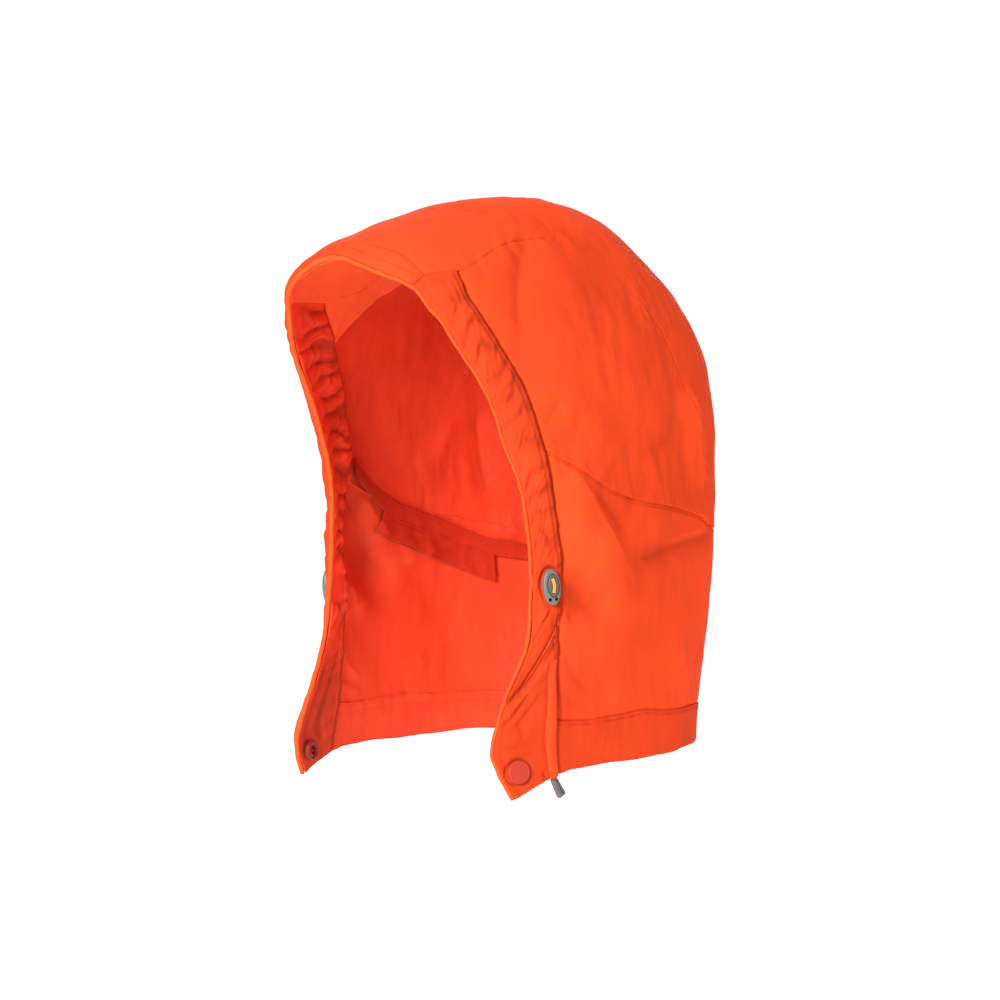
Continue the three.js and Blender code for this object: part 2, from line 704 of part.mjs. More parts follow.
// The rolled edge follows the opening from chin flap to chin flap, just clear of the cloth.
function binding() {
  const stations = 64;
  const corners = 6;
  const whole = cut(openingArch, 0, 2 * openingEnd);
  const points = [];
  const middle = (CASING_RISE + INSIDE - TURNED_CLOTH) / 2;
  for (let i = 0; i <= stations; i += 1) {
    const share = i / stations;
    const toward = whole(share);
    const centre = clothPoint(toward, middle);
    const ahead = clothPoint(whole(share + 0.004), middle);
    const behind = clothPoint(whole(share - 0.004), middle);
    const along = ahead.sub(behind).normalize();
    const normal = bodyNormal(toward);
    const off = along.clone().cross(normal).normalize();
    if (off.dot(new THREE.Vector3(0, -1, 0)) < 0) off.negate();
    const upright = off.clone().cross(along).normalize();
    centre.addScaledVector(off, BINDING_WIDE + GAP + 0.1);
    for (let k = 0; k < corners; k += 1) {
      const angle = (2 * Math.PI * k) / corners;
      points.push(centre.clone()
        .addScaledVector(off, BINDING_WIDE * Math.cos(angle))
        .addScaledVector(upright, BINDING_HIGH * Math.sin(angle)));
    }
  }
  const faces = [];
  for (let i = 0; i < stations; i += 1) {
    for (let k = 0; k < corners; k += 1) {
      const a = i * corners + k;
      const b = i * corners + ((k + 1) % corners);
      faces.push([a, b, b + corners], [a, b + corners, a + corners]);
    }
  }
  const end = stations * corners;
  for (let k = 1; k < corners - 1; k += 1) {
    faces.push([0, k + 1, k], [end, end + k, end + k + 1]);
  }
  return solid(points, faces);
}

// A frame on the cloth: z away from the body, y up along it. side is -1 for the wearer's right.
function seat(place, side, lift) {
  const toward = way(place.up, side * place.turn);
  const out = bodyNormal(toward);
  const origin = clothPoint(toward, lift);
  const upright = new THREE.Vector3(0, 0, 1).addScaledVector(out, -out.z).normalize();
  const across = upright.clone().cross(out);
  return new THREE.Matrix4().makeBasis(across, upright, out).setPosition(origin);
}

function turnedDisc(profile, segments) {
  const geometry = new THREE.LatheGeometry(profile.map(([x, y]) => new THREE.Vector2(x, y)), segments);
  return geometry.rotateX(Math.PI / 2);
}

function snapCap() {
  const radius = SNAP_CAP / 2;
  return turnedDisc([
    [0, 0],
    [radius, 0],
    [radius, SNAP_CAP_HEIGHT * 0.45],
    [radius - 0.7, SNAP_CAP_HEIGHT * 0.8],
    [radius - 1.6, SNAP_CAP_HEIGHT * 0.7],
    [radius * 0.5, SNAP_CAP_HEIGHT * 0.94],
    [0, SNAP_CAP_HEIGHT],
  ], 16);
}

function snapSocket() {
  const radius = SNAP_SOCKET / 2;
  const bore = SNAP_SOCKET_BORE / 2;
  const stud = SNAP_STUD / 2;
  return turnedDisc([
    [0, 0],
    [radius, 0],
    [radius, SNAP_SOCKET_HEIGHT - 0.7],
    [radius - 0.6, SNAP_SOCKET_HEIGHT],
    [bore, SNAP_SOCKET_HEIGHT],
    [bore, SNAP_SOCKET_FLOOR],
    [stud, SNAP_SOCKET_FLOOR],
    [stud, SNAP_SOCKET_HEIGHT * 0.6],
    [0, SNAP_SOCKET_HEIGHT * 0.7],
  ], 16);
}

// An oval block standing on z = 0, with a rounded upper edge.
function oval(width, length, height, round) {
  const shape = new THREE.Shape();
  shape.absellipse(0, 0, width / 2 - round, length / 2 - round, 0, 2 * Math.PI);
  const block = new THREE.ExtrudeGeometry(shape, {
    depth: height - 2 * round,
    bevelThickness: round,
    bevelSize: round,
    bevelSegments: 1,
    curveSegments: 9,
  });
  return block.translate(0, 0, round);
}

function manifoldOf(geometry) {
  const bare = geometry.index ? geometry.toNonIndexed() : geometry;
  const position = bare.getAttribute('position');
  const seen = new Map();
  const points = [];
  const corners = [];
  for (let i = 0; i < position.count; i += 1) {
    const point = [position.getX(i), position.getY(i), position.getZ(i)];
    const key = point.map((value) => Math.round(value * 1e4)).join(',');
    if (!seen.has(key)) {
      seen.set(key, points.length / 3);
      points.push(...point);
    }
    corners.push(seen.get(key));
  }
  const faces = [];
  for (let i = 0; i < corners.length; i += 3) {
    const [a, b, c] = corners.slice(i, i + 3);
    if (a !== b && b !== c && c !== a) faces.push(a, b, c);
  }
  return new wasm.Manifold(new wasm.Mesh({
    numProp: 3,
    vertProperties: new Float32Array(points),
    triVerts: new Uint32Array(faces),
  }));
}

function geometryOf(body) {
  const mesh = body.getMesh();
  const points = [];
  for (let i = 0; i < mesh.numVert; i += 1) {
    points.push(...mesh.vertProperties.slice(i * mesh.numProp, i * mesh.numProp + 3));
  }
  const geometry = new THREE.BufferGeometry();
  geometry.setAttribute('position', new THREE.Float32BufferAttribute(points, 3));
  geometry.setIndex([...mesh.triVerts]);
  geometry.computeVertexNormals();
  return geometry;
}

// The cord lock's oval body, with a pocket for the button and two holes for the cord.
function lockHousing() {
  const body = manifoldOf(oval(LOCK_WIDTH, LOCK_LENGTH, LOCK_HEIGHT, LOCK_ROUND));
  const pocket = manifoldOf(oval(
    BUTTON_WIDTH + 2 * BUTTON_CLEARANCE,
    BUTTON_LENGTH + 2 * BUTTON_CLEARANCE,
    LOCK_HEIGHT * 2,
    0.05,
  ).translate(BUTTON_SHIFT, BUTTON_SHIFT, LOCK_FLOOR));
  let done = body.subtract(pocket);
  [-1, 1].forEach((side) => {
    const hole = manifoldOf(new THREE.CylinderGeometry(CORD_HOLE / 2, CORD_HOLE / 2, LOCK_HEIGHT * 2, 12)
      .rotateX(Math.PI / 2)
      .translate(side * CORD_HOLE * 0.85, -(LOCK_LENGTH / 2 - CORD_HOLE * 1.5), LOCK_HEIGHT + LOCK_FLOOR));
    done = done.subtract(hole);
  });
  return geometryOf(done);
}

const BUTTON_FOOT = LOCK_FLOOR + BUTTON_TRAVEL + BUTTON_CLEARANCE;
const BUTTON_TOP = LOCK_HEIGHT + BUTTON_PROUD;

// The curved bar let into the button's face, grown by so much all round.
function barBlock(grow, from, to) {
  const half = BAR_LENGTH / 2 + grow;
  const wide = BAR_WIDTH / 2 + grow;
  const bow = BAR_WIDTH * 0.45;
  const shape = new THREE.Shape();
  shape.moveTo(-wide, -half);
  shape.quadraticCurveTo(bow * 2 - wide, 0, -wide, half);
  shape.lineTo(wide, half);
  shape.quadraticCurveTo(bow * 2 + wide, 0, wide, -half);
  const block = new THREE.ExtrudeGeometry(shape, {
    depth: to - from,
    bevelEnabled: false,
    curveSegments: 6,
  });
  return block.translate(BUTTON_SHIFT - bow * 0.5, BUTTON_SHIFT, from);
}

function lockButton() {
  const body = manifoldOf(oval(BUTTON_WIDTH, BUTTON_LENGTH, BUTTON_TOP - BUTTON_FOOT, 0.6)
    .translate(BUTTON_SHIFT, BUTTON_SHIFT, BUTTON_FOOT));
  const slot = manifoldOf(barBlock(GAP, BUTTON_TOP - BAR_DEPTH - GAP, BUTTON_TOP * 2));
  return geometryOf(body.subtract(slot));
}

const lockBar = () => barBlock(0, BUTTON_TOP - BAR_DEPTH, BUTTON_TOP + 0.15);

// The moulded tab on the cord, hanging from y = 0, with a groove down its face.
function cordEnd() {
  const top = CORD_END_WIDTH * 0.36;
  const low = CORD_END_WIDTH * 0.5;
  const round = 0.8;
  const shape = new THREE.Shape();
  shape.moveTo(-top + round, -round);
  shape.lineTo(top - round, -round);
  shape.lineTo(low - round, -CORD_END_LENGTH + 2.2);
  shape.lineTo(low - 2, -CORD_END_LENGTH + round);
  shape.lineTo(2 - low, -CORD_END_LENGTH + round);
  shape.lineTo(round - low, -CORD_END_LENGTH + 2.2);
  const block = new THREE.ExtrudeGeometry(shape, {
    depth: CORD_END_DEPTH - 2 * round,
    bevelThickness: round,
    bevelSize: round,
    bevelSegments: 2,
  }).translate(0, 0, -CORD_END_DEPTH / 2 + round);
  const groove = new THREE.BoxGeometry(CORD_END_WIDTH * 0.16, CORD_END_LENGTH * 0.62, 1.2)
    .translate(CORD_END_WIDTH * 0.14, -CORD_END_LENGTH * 0.5, CORD_END_DEPTH / 2);
  return geometryOf(manifoldOf(block).subtract(manifoldOf(groove)));
}

const hood = new THREE.Group();
hood.name = 'detachable_hood';

function add(name, geometry, look, matrix) {
  const material = new THREE.MeshStandardMaterial(look);
  material.side = THREE.DoubleSide;
  const mesh = new THREE.Mesh(geometry, material);
  mesh.name = name;
  if (matrix) mesh.applyMatrix4(matrix);
  hood.add(mesh);
}

// Neighbouring panels share the corners of their cells, so that their seams run side by side.
const CELLS = { crown: 12, sideAcross: 10, sideDown: 12, neckDown: 10 };
const seamShare = (read, from, at, to) => cut(read, from, at).whole / cut(read, from, to).whole;
const crownLast = CROWN_SEAM.length - 1;
const crownSteps = steps(
  [1, seamShare(crownSeam, CROWN_SEAM_PEAK, CROWN_SEAM_CASING, crownLast)],
  [CELLS.sideAcross, seamShare(crownSeam, CROWN_SEAM_PEAK, CROWN_SEAM_TURN, crownLast)],
  [CELLS.sideDown, 1],
);
const crossShare = seamShare(crossSeam, 0, CROSS_CROWN, crossEnd);
const wrapSteps = steps(
  [CELLS.sideAcross, crossShare],
  [CELLS.crown, 1 - crossShare],
  [CELLS.sideAcross, 1],
);

const shellOuter = level(0);
const shellInner = level(-CLOTH);
const turnedOuter = level(INSIDE);
const turnedInner = level(INSIDE - TURNED_CLOTH);
const tapeOuter = level(TAPE_INSIDE);
const tapeInner = level(TAPE_INSIDE - TAPE);
add('crown_panel', sheet(crownArea, even(CELLS.crown), crownSteps, shellOuter, shellInner), SHELL);
add('neck_panel', sheet(neckArea, wrapSteps, even(CELLS.neckDown), shellOuter, shellInner), SHELL);
add('hem_band', sheet(bandArea, wrapSteps, even(2), level(HEM_RISE), shellInner), SHELL_DEEP);
add('peak', sheet(peakArea, even(CELLS.crown), even(2), level(PEAK_RISE), shellInner), SHELL);
add('peak_lining', sheet(liningArea, even(16), even(4), turnedOuter, turnedInner), SHELL_DEEP);
add('crown_facing', sheet(crownFacingArea, even(16), even(2), turnedOuter, turnedInner), SHELL_DEEP);
add('seam_tape', sheet(tapeArea, even(28), even(1), tapeOuter, tapeInner), TAPE_CLOTH);
add('front_binding', binding(), EDGE);

const onCasing = CASING_RISE + GAP;
const onTunnel = onCasing + TUNNEL_THICK + GAP;
const SIDE_CELLS = [even(CELLS.sideAcross), even(CELLS.sideDown)];
[[1, 'left'], [-1, 'right']].forEach(([side, name]) => {
  const sided = (area) => (side > 0 ? area : mirrorPatch(area));
  add(`side_panel_${name}`, sheet(sided(sideArea), ...SIDE_CELLS, shellOuter, shellInner), SHELL);
  add(`front_casing_${name}`, sheet(sided(casingArea), even(3), even(56), casingOuter, shellInner), SHELL);
  add(`front_facing_${name}`, sheet(sided(facingArea), even(2), even(48), turnedOuter, facingInner), LINING);
  const tunnelOuter = level(onCasing + TUNNEL_THICK);
  const tunnel = sheet(sided(tunnelArea), even(1), even(8), tunnelOuter, level(onCasing));
  add(`cord_tunnel_${name}`, tunnel, SHELL);
  add(`back_patch_${name}`, sheet(sided(patchArea), even(8), even(2), tapeOuter, tapeInner), TAPE_CLOTH);

  add(`snap_cap_${name}`, snapCap(), SNAP, seat(SNAP_PLACE, side, onCasing));
  const socketSeat = seat(SNAP_PLACE, side, INSIDE - TURNED_CLOTH - GAP - SNAP_SOCKET_DROP);
  socketSeat.multiply(new THREE.Matrix4().makeRotationY(Math.PI));
  add(`snap_socket_${name}`, snapSocket(), SNAP, socketSeat);

  const lockSeat = seat(LOCK_PLACE, side, onCasing);
  lockSeat.multiply(new THREE.Matrix4().makeRotationZ(side * LOCK_TILT * DEGREE));
  add(`lock_housing_${name}`, lockHousing(), GREY, lockSeat);
  add(`lock_button_${name}`, lockButton(), DARK_GREY, lockSeat);
  add(`lock_bar_${name}`, lockBar(), BAR, lockSeat);
});

// One cord end hangs below the hem and leans back. The other is tucked up over its tunnel.
const hang = seat(CORD_END_PLACE, 1, -CLOTH / 2);
hang.multiply(new THREE.Matrix4().makeTranslation(0, -GAP - CORD_END_DROP, 0));
hang.multiply(new THREE.Matrix4().makeRotationZ(CORD_END_LEAN * DEGREE));
add('cord_end_left', cordEnd(), TAB, hang);
const overTunnel = onTunnel + CORD_END_DEPTH / 2 + CORD_END_REST;
add('cord_end_right', cordEnd(), TAB, seat(CORD_END_TUCKED, -1, overTunnel));

export default hood;
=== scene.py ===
"""The drawstring hood's cloth, stitching and hardware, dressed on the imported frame."""

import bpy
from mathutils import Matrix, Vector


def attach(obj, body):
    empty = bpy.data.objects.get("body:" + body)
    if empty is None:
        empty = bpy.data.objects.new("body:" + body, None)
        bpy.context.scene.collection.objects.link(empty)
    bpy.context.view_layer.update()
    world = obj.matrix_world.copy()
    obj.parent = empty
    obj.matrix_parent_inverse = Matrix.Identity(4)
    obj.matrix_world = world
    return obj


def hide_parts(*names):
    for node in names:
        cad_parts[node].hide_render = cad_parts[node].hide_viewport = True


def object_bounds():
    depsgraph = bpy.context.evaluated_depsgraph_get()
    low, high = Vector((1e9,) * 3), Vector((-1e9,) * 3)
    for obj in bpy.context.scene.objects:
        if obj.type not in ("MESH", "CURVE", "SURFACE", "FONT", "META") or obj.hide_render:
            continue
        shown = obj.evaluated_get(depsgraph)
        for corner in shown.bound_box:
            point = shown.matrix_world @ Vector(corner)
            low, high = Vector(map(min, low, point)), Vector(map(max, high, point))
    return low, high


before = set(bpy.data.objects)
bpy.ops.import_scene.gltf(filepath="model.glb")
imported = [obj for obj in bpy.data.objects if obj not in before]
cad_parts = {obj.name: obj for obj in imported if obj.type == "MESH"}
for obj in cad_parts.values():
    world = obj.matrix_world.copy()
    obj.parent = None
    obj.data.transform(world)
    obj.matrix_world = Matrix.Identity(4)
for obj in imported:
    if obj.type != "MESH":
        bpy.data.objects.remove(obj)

import copy
import math

import bpy
import numpy as np
from bpy.props import FloatProperty, FloatVectorProperty, PointerProperty
from mathutils import Matrix, Vector

CAD_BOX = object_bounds()

bl_info = {
    "name": "Drawstring hood",
    "version": (1, 0, 0),
    "blender": (4, 5, 0),
    "location": "3D View > Sidebar > Hood",
    "description": "Sews the cloth and sets the hardware of a detachable drawstring hood",
    "category": "Object",
}

# The body's cross sections: up, wide, middle, fore, aft, squareness in front, squareness behind.
SECTIONS = (
    (-0.07, 0.98, -0.024, 0.608, 0.44, 3.0, 2.2),
    (0.0, 0.98, -0.024, 0.588, 0.45, 3.0, 2.2),
    (0.15, 0.99, -0.04, 0.46, 0.506, 3.0, 2.2),
    (0.27, 1.0, -0.048, 0.4, 0.55, 3.0, 2.2),
    (0.385, 1.0, -0.056, 0.372, 0.592, 3.0, 2.2),
    (0.5, 0.99, -0.064, 0.37, 0.615, 3.0, 2.2),
    (0.62, 0.97, -0.064, 0.456, 0.632, 2.9, 2.2),
    (0.74, 0.945, -0.056, 0.625, 0.64, 2.7, 2.15),
    (0.855, 0.915, -0.048, 0.73, 0.608, 2.5, 2.1),
    (0.925, 0.895, -0.024, 0.68, 0.545, 2.2, 2.0),
    (1.0, 0.885, 0.0, 0.56, 0.48, 2.1, 2.0),
)
SHOULDER = 0.5
CROWN_ROUND = 2.4

# Lines on the body as (up, turn): up is 0 at the hem and 1 at the crown, turn is in degrees round
# from the middle of the face.
OPENING = (
    (0.854, 0), (0.842, 14), (0.819, 26), (0.79, 37), (0.754, 40), (0.728, 42), (0.661, 43.1),
    (0.599, 43.8), (0.532, 43.8), (0.468, 46.2), (0.386, 48.5), (0.269, 50.3), (0.205, 50.8),
    (0.123, 48.4), (0.07, 48.3), (0.032, 49), (0.01, 50.6), (-0.04, 55.2),
)
PEAK_END = 3
CROWN_SEAM = (
    (0.79, 37), (0.803, 40), (0.808, 44), (0.814, 48.4), (0.823, 51.5), (0.84, 55), (0.864, 59),
    (0.887, 66), (0.89, 77), (0.876, 88), (0.838, 98), (0.775, 106), (0.71, 110), (0.646, 113),
    (0.562, 119), (0.41, 128),
)
CROWN_PEAK, CROWN_CASING, CROWN_TURN = 1, 3, 9
PEAK_SEAM = ((0.871, 0), (0.868, 10), (0.859, 22), (0.845, 32), (0.822, 37.6), (0.803, 40))
CASING_SEAM = (
    (0.814, 48.4), (0.768, 49.6), (0.709, 52), (0.644, 53.4), (0.601, 53.6), (0.525, 53.8),
    (0.449, 54.6), (0.385, 56.2), (0.344, 57.3), (0.245, 58.2), (0.173, 59.2), (0.08, 62),
    (-0.007, 64.4),
)
CASING_CROSS, CASING_BAND = 5, 11
CROSS_SEAM = (
    (0.525, 53.8), (0.51, 59), (0.492, 66), (0.476, 73), (0.462, 80), (0.453, 87), (0.445, 94),
    (0.439, 103), (0.432, 111), (0.422, 119), (0.41, 128), (0.404, 150), (0.402, 180),
)
CROSS_CROWN = 10
BAND_TOP = (
    (0.08, 62), (0.077, 70), (0.082, 82), (0.086, 96), (0.086, 122), (0.085, 150), (0.085, 180),
)
HEM = (
    (-0.007, 64.4), (0.0, 70), (0.005, 82), (0.0085, 100), (0.0145, 122), (0.0145, 150), (0.014, 180),
)
FLAP_HEM = ((-0.04, 55.2), (-0.028, 58), (-0.018, 60.6), (-0.007, 64.4))
FACING_TOP = ((0.79, 37), (0.812, 57.5))
FACING_SEAM = (
    (0.812, 57.5), (0.745, 62.5), (0.707, 65), (0.609, 67), (0.467, 64.5), (0.348, 61.5),
    (0.271, 61), (0.151, 62.5), (0.081, 64), (-0.007, 64.4),
)
FACING_CROWN = 1
LINING_SEAM = (
    (0.984, 0), (0.975, 40), (0.945, 61), (0.91, 70), (0.873, 70.2), (0.839, 64.4), (0.812, 57.5),
)
CROWN_FACING_EDGE = (
    (0.998, 0), (0.988, 68), (0.95, 80), (0.905, 83), (0.867, 79), (0.82, 72.4), (0.78, 67.6),
    (0.745, 62.5),
)
TAPE_TOP = (
    (0.54, 67.5), (0.517, 71.5), (0.492, 76), (0.472, 83), (0.45, 94), (0.434, 102), (0.415, 110),
    (0.389, 121.5), (0.372, 138), (0.362, 180),
)
TAPE_LOW = (
    (0.509, 67), (0.486, 71), (0.462, 75.5), (0.443, 81), (0.419, 94), (0.403, 102), (0.384, 110),
    (0.358, 121.5), (0.341, 138), (0.331, 180),
)
PATCH_FROM, PATCH_TO = 3, 7
PATCH_LOW = ((0.4, 77), (0.38, 91), (0.353, 101), (0.333, 110), (0.303, 122.5))

# The larger folds, as in the frame: start, end, half width and height.
FOLDS = (
    ((0.394, 124), (0.349, 92), 0.009, -0.002),
    ((0.422, 120), (0.396, 98), 0.011, 0.0016),
    ((0.504, 60), (0.424, 71), 0.009, -0.002),
    ((0.424, 71), (0.304, 91), 0.009, -0.002),
    ((0.4, 66), (0.28, 80), 0.013, 0.0028),
    ((0.292, 63), (0.27, 70), 0.01, -0.0034),
    ((0.874, 66), (0.69, 59), 0.009, -0.0013),
    ((0.62, 62), (0.56, 76), 0.012, 0.0012),
    ((0.22, 64), (0.13, 74), 0.011, -0.0014),
    ((0.25, 106), (0.11, 112), 0.015, 0.0015),
)

# Sharp creases that only the cloth shows: the places they run through, their height, and how far
# they reach behind or above the line and before or below it.
CREASES = (
    (((0.503, 59.5), (0.462, 66), (0.424, 71), (0.36, 78), (0.304, 91)), 0.0078, 0.0065, 0.021),
    (((0.47, 70), (0.43, 78), (0.38, 86)), -0.0042, 0.014, 0.007),
    (((0.394, 126), (0.375, 108), (0.352, 97), (0.348, 91)), -0.0032, 0.0035, 0.009),
    (((0.404, 122), (0.388, 108), (0.37, 100)), 0.0024, 0.007, 0.003),
    (((0.3, 60), (0.294, 65), (0.283, 69)), -0.0018, 0.007, 0.01),
    (((0.27, 70), (0.255, 64), (0.24, 60.5)), -0.0026, 0.004, 0.008),
    (((0.89, 67), (0.83, 65), (0.76, 61.5), (0.7, 59)), -0.0016, 0.0025, 0.006),
    (((0.53, 96), (0.56, 104), (0.64, 109)), -0.003, 0.008, 0.02),
    (((0.66, 115), (0.56, 117), (0.46, 121)), 0.0045, 0.01, 0.014),
    (((0.535, 57), (0.548, 62), (0.545, 67)), -0.0016, 0.0025, 0.004),
    (((0.56, 56), (0.59, 60), (0.6, 63)), -0.0013, 0.002, 0.004),
    (((0.19, 61), (0.15, 66), (0.12, 73)), -0.002, 0.004, 0.008),
    (((0.12, 63), (0.105, 68), (0.1, 74)), -0.0014, 0.003, 0.005),
)

# Hardware: where it sits, how far off the body, and its sizes.
LOCK_PLACE = (0.299, 54.3)
SNAP_PLACE = (0.0, 54.8)
CORD_END_PLACE = (-0.009, 63.4)
CORD_END_TUCKED = (0.052, 61.4)
TUNNEL_FROM, TUNNEL_TO, TUNNEL_TOP = 0.78, 0.97, 0.78
GAP = 0.0004
CASING_RISE = 0.0004
TURNED_CLOTH = 0.001
LAYER_GAP = 0.0011
TAPE_DROP = 0.0015
TAPE = 0.0008
TUNNEL_THICK, TUNNEL_TURNED = 0.0012, 0.0016
SNAP_CAP, SNAP_CAP_HEIGHT = 0.0131, 0.0016
SNAP_SOCKET, SNAP_SOCKET_HEIGHT, SNAP_SOCKET_BORE, SNAP_SOCKET_FLOOR = 0.0126, 0.0026, 0.0054, 0.0008
SNAP_STUD, SNAP_SOCKET_DROP = 0.0022, 0.0009
LOCK_LENGTH, LOCK_WIDTH, LOCK_HEIGHT, LOCK_FLOOR = 0.0206, 0.0104, 0.0039, 0.001
LOCK_TILT = 5
BUTTON_LENGTH, BUTTON_WIDTH, BUTTON_SHIFT = 0.0126, 0.0063, 0.0007
BUTTON_TRAVEL, BUTTON_PROUD, BUTTON_CLEARANCE = 0.0012, 0.0006, 0.0004
BAR_LENGTH, BAR_WIDTH, BAR_DEPTH = 0.0082, 0.0019, 0.0009
CORD_HOLE = 0.0022
CORD_END_LENGTH, CORD_END_WIDTH, CORD_END_DEPTH = 0.0122, 0.0056, 0.0036
CORD_END_LEAN, CORD_END_DROP, CORD_END_REST = 30, 0.001, 0.0003
EDGE_REACH, EDGE_WIDE, EDGE_HIGH = 0.0014, 0.0011, 0.0015

# Sewing: a seam's dip and width, the height, pitch and reach of the tucks beside it, the thread's
# radius, and the rows of stitches with their inset from the edge and their height.
SEAM_DIP = (0.0006, 0.0009)
TUCKS = (0.0008, 0.007, 0.009)
THREAD = 0.00022
STITCH_ROWS = (
    ("neck", "first", 0.0019, 0.00002), ("band", "first", 0.0018, 0.0007),
    ("peak", "first", 0.0045, 0.0006), ("peak", "last", 0.0022, 0.00055),
)

# Painted shade: how dark the cloth is painted where it lies flat, and the depth of a fold that is painted
# darkest, outside and inside.
FLAT_SHADE, FOLD_SHADE_DEPTH, FOLD_SHADE_DEPTH_INSIDE = 0.15, 0.011, 0.03
# How strongly the flap's folds, the ring round the snap and the slit round the lock add painted shade.
FLAP_FOLD_SHADE, SNAP_RING_SHADE, LOCK_WELL_SHADE = 300, 350, 1.2

# How the gathers of the casings and the facings lean, and the seeds they are drawn from.
CASING_LEAN, CASING_SEED = 0.8, 40
FACING_LEAN, FACING_SEED = 0.2, 50

# Studio: the camera's height, lens and shift, the middle that the lamps face, and each lamp's
# place, size and setting.
CAMERA_HEIGHT, CAMERA_LENS, CAMERA_SHIFT = -0.2284, 66.78, 0.07
HOOD_MIDDLE = (0, -0.02, -0.18)
LAMPS = (
    ("front_light", (0.38, -1.42, 0.22), 0.55, "key"), ("side_light", (1.36, 0.62, 0.34), 0.9, "fill"),
    ("top_light", (-0.1, -0.2, 1.2), 0.9, "top"), ("back_light", (-1.05, 1.15, 0.4), 1.2, "back"),
)


def unit(vectors):
    return vectors / np.maximum(np.linalg.norm(vectors, axis=-1, keepdims=True), 1e-12)


def dot(a, b):
    return np.sum(a * b, axis=-1)


def on_left(points):
    """The points with those of the wearer's right side brought over to the left."""
    return np.concatenate([np.abs(points[..., :1]), points[..., 1:]], axis=-1)


def bell(distance, width):
    return np.exp(-((distance / width) ** 2))


def ease(value, low, high):
    t = np.clip((value - low) / (high - low), 0, 1)
    return t * t * (3 - 2 * t)


class Curve:
    """A smooth curve through rows of numbers, read at places along its keys."""

    def __init__(self, keys, rows):
        self.keys = np.array(keys, float)
        self.rows = np.array(rows, float)
        step = np.diff(self.rows, axis=0) / np.diff(self.keys)[:, None]
        self.slopes = np.vstack([step[:1], (step[:-1] + step[1:]) / 2, step[-1:]])

    def __call__(self, at):
        x = np.clip(np.asarray(at, float), self.keys[0], self.keys[-1])
        i = np.clip(np.searchsorted(self.keys, x, side="right") - 1, 0, len(self.keys) - 2)
        wide = self.keys[i + 1] - self.keys[i]
        t = ((x - self.keys[i]) / wide)[..., None]
        wide = wide[..., None]
        rise = t * t * (3 - 2 * t)
        leave = wide * t * (1 - t) ** 2
        arrive = wide * t * t * (t - 1)
        rows, slopes = self.rows, self.slopes
        return rows[i] * (1 - rise) + rows[i + 1] * rise + slopes[i] * leave + slopes[i + 1] * arrive


class Noise:
    """Smooth seeded noise from about -1 to 1."""

    def __init__(self, seed):
        draw = np.random.default_rng(seed)
        self.order = draw.permutation(256)
        self.slopes = unit(draw.normal(size=(256, 3)))

    def __call__(self, points):
        points = np.asarray(points, float)
        floor = np.floor(points)
        part = points - floor
        cell = floor.astype(int) & 255
        fade = part**3 * (part * (part * 6 - 15) + 10)
        total = np.zeros(points.shape[:-1])
        for corner in np.ndindex(2, 2, 2):
            corner = np.array(corner)
            at = (cell + corner) & 255
            pick = self.order[(self.order[at[..., 0]] + at[..., 1]) & 255]
            pick = self.order[(pick + at[..., 2]) & 255]
            share = np.prod(np.where(corner == 1, fade, 1 - fade), axis=-1)
            total += share * dot(self.slopes[pick], part - corner)
        return 1.7 * total


def way(up, turn):
    """The direction from the middle of the head to a place on the body."""
    up, turn = np.asarray(up, float), np.asarray(turn, float)
    lift = (up - SHOULDER) / SHOULDER
    level = np.where(up >= SHOULDER, np.sqrt(np.maximum(1 - lift * lift, 0)), 1.0)
    round_ = np.radians(turn - 90)
    return unit(np.stack([level * np.cos(round_), level * np.sin(round_), lift], axis=-1))


def table_line(rows):
    rows = np.array(rows, float)
    curve = Curve(range(len(rows)), way(rows[:, 0], rows[:, 1]))
    return lambda at: unit(curve(at))


def both_sides(rows, centre_first):
    """A table's rows carried on to the wearer's right side."""
    left = list(rows)[::-1] if centre_first else list(rows)
    turn = 0 if centre_first else 360
    return table_line(left + [(up, turn - round_) for up, round_ in left[-2::-1]])


